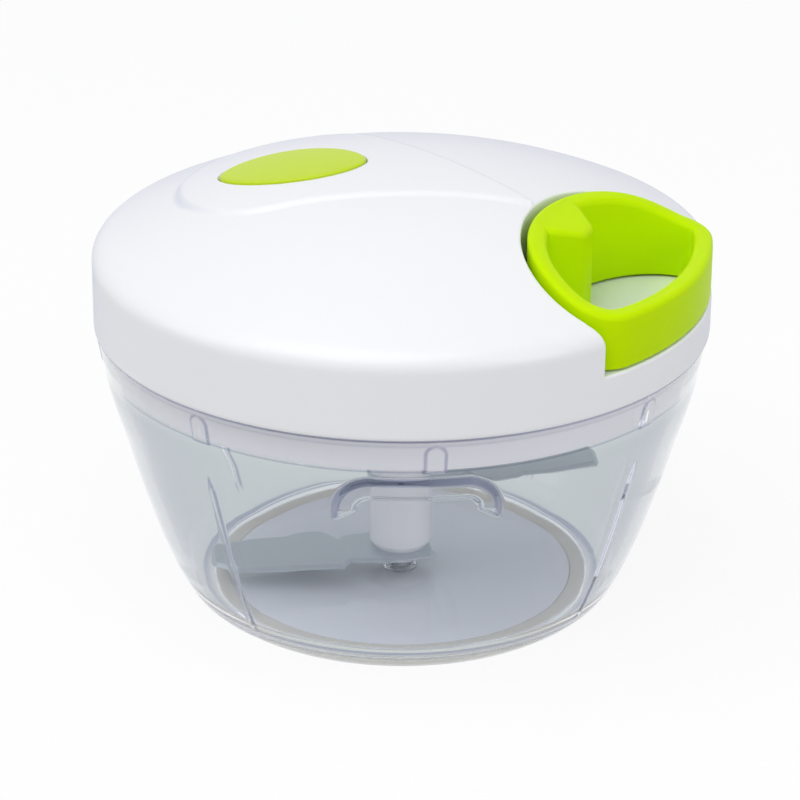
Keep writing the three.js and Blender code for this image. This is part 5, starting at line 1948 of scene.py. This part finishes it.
@dataclass
class Cord:
    """Braided cord: its winding on the drum, its run to the ring and the knot at each end."""

    palette: Palette
    radius: float = 0.9
    turns: float = 4.4
    turn_points: int = 90
    pitch: float = 2.32
    winding_radius: float = 16.9
    winding_bottom: float = 67.4
    height: float = 77.608
    core_radius: float = 15.7
    core_wall: float = 1.7
    approach_x: float = 24.0
    bend: float = 2.6
    gap: float = 0.3
    ring_post_x: float = 34.3
    ring_knot_radius: float = 2.7
    drum_knot_radius: float = 1.8
    knot_share: float = 0.36
    knot_points: int = 160
    blend_start: float = 27.0
    run_start: float = 0.6
    run_points: tuple[int, int, int] = (14, 9, 80)
    strands: int = 8
    strand_sink: float = 0.14
    lay: float = 1.1

    def __post_init__(self) -> None:
        """Works out the angle at which the cord leaves the drum, and where its run ends."""
        self.leave_angle = -math.acos(self.winding_radius / self.approach_x)
        self.run_end = self.ring_post_x - self.ring_knot_radius / 2 - self.gap

    def rope(self, name: str, path: Array) -> Piece:
        """Makes a length of cord along a path."""
        braid = {"twist": self.lay, "lobes": self.strands, "sink": self.strand_sink}
        return Mesher.tube(name, path, self.radius, self.palette[Look.CORD], sides=24, **braid)

    def make_winding(self) -> Piece:
        """Makes the turns on the drum.

        Returns:
            The winding.
        """
        done = np.linspace(0, self.turns, int(self.turns * self.turn_points) + 1)
        plan = polar(self.winding_radius, self.leave_angle - TAU * (self.turns - done))
        return self.rope("braided_winding", lifted(plan, self.winding_bottom + done * self.pitch))

    def make_run(self) -> Piece:
        """Makes the straight run through the outlet, as it lies before the ring is pulled.

        Returns:
            The run.
        """
        leave = polar(self.winding_radius, np.array([self.leave_angle]))[0]
        corner, end = np.array([self.approach_x, 0.0]), np.array([self.run_end, 0.0])
        along = (corner - leave) / np.linalg.norm(corner - leave)
        start, (before, inside, after) = leave + along * self.run_start, self.run_points
        bend_start, bend_end = corner - along * self.bend, corner + [self.bend, 0.0]
        first = start + (bend_start - start) * np.linspace(0, 1, before)[:-1, None]
        middle = bent(bend_start, corner, bend_end, np.linspace(0, 1, inside)[:, None])
        last = bend_end + (end - bend_end) * np.linspace(0, 1, after)[1:, None]
        return self.rope("braided_run", lifted(np.vstack([first, middle, last]), self.height))

    def make_knot(self, name: str, centre: Sequence[float], size: float) -> Piece:
        """Makes a tied knot that fills a ball.

        Args:
            name: Name of the piece.
            centre: Middle of the knot.
            size: Radius of the ball.

        Returns:
            The knot.
        """
        thick = size * self.knot_share
        t = circle(self.knot_points)
        plan = np.column_stack([np.sin(t) + 2 * np.sin(2 * t), np.cos(t) - 2 * np.cos(2 * t)])
        path = lifted(plan, -1.5 * np.sin(3 * t))
        path *= (size - thick) / np.linalg.norm(path, axis=1).max()
        path = np.vstack([path, path[:1]]) + np.array(centre)
        return Mesher.tube(name, path, thick, self.palette[Look.CORD], sides=16)

    def dress(self) -> None:
        """Builds the cord's pieces."""
        place(self.make_winding(), Body.DRUM, "cord", "wound_cord")
        angle = self.leave_angle - TAU * self.turns
        reach = self.core_radius - self.core_wall - self.gap - self.drum_knot_radius
        low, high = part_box("drum_knot")
        centre = (reach * math.cos(angle), reach * math.sin(angle), (low.z + high.z) / 2 / MM)
        drum_knot = self.make_knot("cord_knot_in_drum", centre, self.drum_knot_radius)
        place(drum_knot, Body.DRUM, "cord", "drum_knot")
        at_ring = (self.ring_post_x + self.ring_knot_radius / 2, 0.0, self.height)
        ring_knot = self.make_knot("cord_knot_in_ring", at_ring, self.ring_knot_radius)
        place(ring_knot, Body.HANDLE, "cord", "ring_knot")
        run, end = self.make_run(), self.run_end
        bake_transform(run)
        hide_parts("cord_run")
        LOG.info("%s: %d faces between lid and handle", run.name, len(run.data.polygons))


@dataclass
class HiddenWorks:
    """The works inside the lid, which keep the frame's shapes and get a finish."""

    palette: Palette
    nodes: dict[str, Piece]
    acetal: tuple[str, ...] = ("cord_outlet", "spring_case", "spring_cover", "cord_drum")
    steel: tuple[str, ...] = ("case_screw_1", "case_screw_2", "case_screw_3", "drum_washer", "arbor_screw")
    spring: tuple[str, ...] = ("return_spring",)

    def dress(self) -> None:
        """Puts each finish on its pieces."""
        finishes = ((Look.ACETAL, self.acetal), (Look.STEEL, self.steel), (Look.SPRING, self.spring))
        for look, names in finishes:
            for name in names:
                for held in self.nodes[name].material_slots:
                    held.material = self.palette[look]
                LOG.info("%s: finish %s", name, look.value.name)


# Studio


@dataclass(frozen=True)
class Lamp:
    """Soft rectangular lamp that faces the chopper: its place and sides in metres, its watts."""

    name: str
    at: tuple[float, float, float]
    size: Pair
    power: float

    def make(self, target: Vector) -> None:
        """Makes the lamp.

        Args:
            target: What it faces.
        """
        data = bpy.data.lights.new(self.name, "AREA")
        data.shape = "RECTANGLE"
        data.size, data.size_y = self.size
        data.energy = self.power
        lamp = linked(self.name, data)
        lamp.location = self.at
        lamp.rotation_euler = (target - Vector(self.at)).to_track_quat("-Z", "Y").to_euler()


@dataclass
class Studio:
    """White table and backdrop, soft lamps and the camera, in metres."""

    camera_at: tuple[float, float, float] = (0.2538, -0.5810, 0.3217)
    camera_to: tuple[float, float, float] = (-0.00026, -0.00011, 0.04166)
    camera_roll: float = 0.40
    lens: float = 147.96
    sensor: float = 36.0
    floor_size: float = 6.0
    floor_show: float = 0.88
    bounce: float = 0.6
    sky: float = 0.53
    sky_tone: Colour = (0.97, 0.98, 1.0, 1)
    side_tone: Colour = (0.80, 0.82, 0.90, 1)
    side_reach: float = 0.35
    through_tone: Colour = (0.65, 0.69, 0.67, 1)
    lamp_target: tuple[float, float, float] = (0, 0, 0.05)
    lamps: tuple[Lamp, ...] = (
        Lamp("top_lamp", (-0.1, -0.45, 1.05), (1.0, 0.9), 5.4),
        Lamp("left_lamp", (-1.1, -0.7, 0.7), (0.7, 0.9), 2.15),
        Lamp("right_lamp", (1.2, -0.4, 0.6), (0.5, 0.9), 2.7),
    )

    def make_camera(self) -> None:
        """Makes the camera at the photograph's place and turn."""
        data = bpy.data.cameras.new("photo_camera")
        data.lens, data.sensor_width = self.lens, self.sensor
        data.clip_start, data.clip_end = 0.01, 50
        camera = linked("photo_camera", data)
        at, roll = Vector(self.camera_at), math.radians(self.camera_roll)
        forward = (Vector(self.camera_to) - at).normalized()
        right = forward.cross(Vector((0, 0, 1))).normalized()
        up = right.cross(forward)
        rolled_right = math.cos(roll) * right + math.sin(roll) * up
        rolled_up = -math.sin(roll) * right + math.cos(roll) * up
        turn = Matrix((rolled_right, rolled_up, -forward)).transposed()
        camera.matrix_world = Matrix.Translation(at) @ turn.to_4x4()
        bpy.context.scene.camera = camera

    def looking(self, nodes: Nodes, path: dict[str, Socket]) -> Socket:
        """Picks the rays that look at the backdrop: the camera's, mirrored or through plastic."""
        clear = nodes.maths("MAXIMUM", path["Is Glossy Ray"], path["Is Transmission Ray"])
        return nodes.maths("MAXIMUM", clear, path["Is Camera Ray"])

    def through(self, nodes: Nodes, path: dict[str, Socket], plain: object) -> Socket:
        """Greys a plain backdrop colour where it is seen through clear plastic."""
        return nodes.mix(path["Is Transmission Ray"], plain, self.through_tone)

    def make_world(self) -> None:
        """Makes the sky: plain light, and a white backdrop for what looks at it."""
        world = bpy.data.worlds.new("studio")
        bpy.context.scene.world = world
        world.use_nodes = True
        world.node_tree.nodes.clear()
        nodes = Nodes(world.node_tree)
        path = nodes.add("LightPath").outputs
        split = nodes.add("SeparateXYZ", {0: nodes.add("TexCoord").outputs["Generated"]})
        limits = {"From Min": self.side_reach, "From Max": -self.side_reach}
        behind = nodes.add("MapRange", {"Value": split.outputs["Y"], **limits}).outputs[0]
        tone = nodes.mix(behind, WHITE, self.side_tone)
        backdrop = self.through(nodes, path, nodes.mix(path["Is Camera Ray"], tone, WHITE))
        light = nodes.add("Background", {"Color": self.sky_tone, "Strength": self.sky})
        seen = nodes.add("Background", {"Color": backdrop, "Strength": 1.0})
        nodes.surface(nodes.add("OutputWorld"), self.looking(nodes, path), light, seen)

    def make_floor(self) -> None:
        """Makes the white table, which keeps a soft shadow."""
        half = self.floor_size / 2
        mesh = bpy.data.meshes.new("table")
        corners = [(-half, -half, 0), (half, -half, 0), (half, half, 0), (-half, half, 0)]
        mesh.from_pydata(corners, [], [(0, 1, 2, 3)])
        material = bpy.data.materials.new("table_white")
        material.use_nodes = True
        material.node_tree.nodes.clear()
        nodes = Nodes(material.node_tree)
        path = nodes.add("LightPath").outputs
        plain = self.through(nodes, path, WHITE)
        table = nodes.mix(path["Is Diffuse Ray"], plain, (self.bounce, self.bounce, self.bounce, 1))
        matt = nodes.add("BsdfDiffuse", {"Color": table})
        glow = nodes.add("Emission", {"Color": plain, "Strength": 1.0})
        share = nodes.maths("MULTIPLY", self.looking(nodes, path), self.floor_show)
        nodes.surface(nodes.add("OutputMaterial"), share, matt, glow)
        mesh.materials.append(material)
        floor = linked("table", mesh)

    def set_up(self) -> None:
        """Builds the whole studio."""
        bpy.context.scene.view_settings.view_transform = "Standard"
        self.make_camera()
        self.make_world()
        self.make_floor()
        for lamp in self.lamps:
            lamp.make(Vector(self.lamp_target))


def main() -> None:
    """Dresses the frame piece by piece."""
    logging.basicConfig(level=logging.INFO, format="%(name)s %(message)s")
    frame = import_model()
    palette = {look: look.value.material() for look in Look}
    Studio().set_up()
    bowl = Bowl(palette)
    bowl.dress()
    BladeSet(palette).dress()
    Lid(palette).dress(bowl)
    PullRing(palette).dress()
    Cord(palette).dress()
    HiddenWorks(palette, frame["nodes"]).dress()


if __name__ == "__main__":
    main()
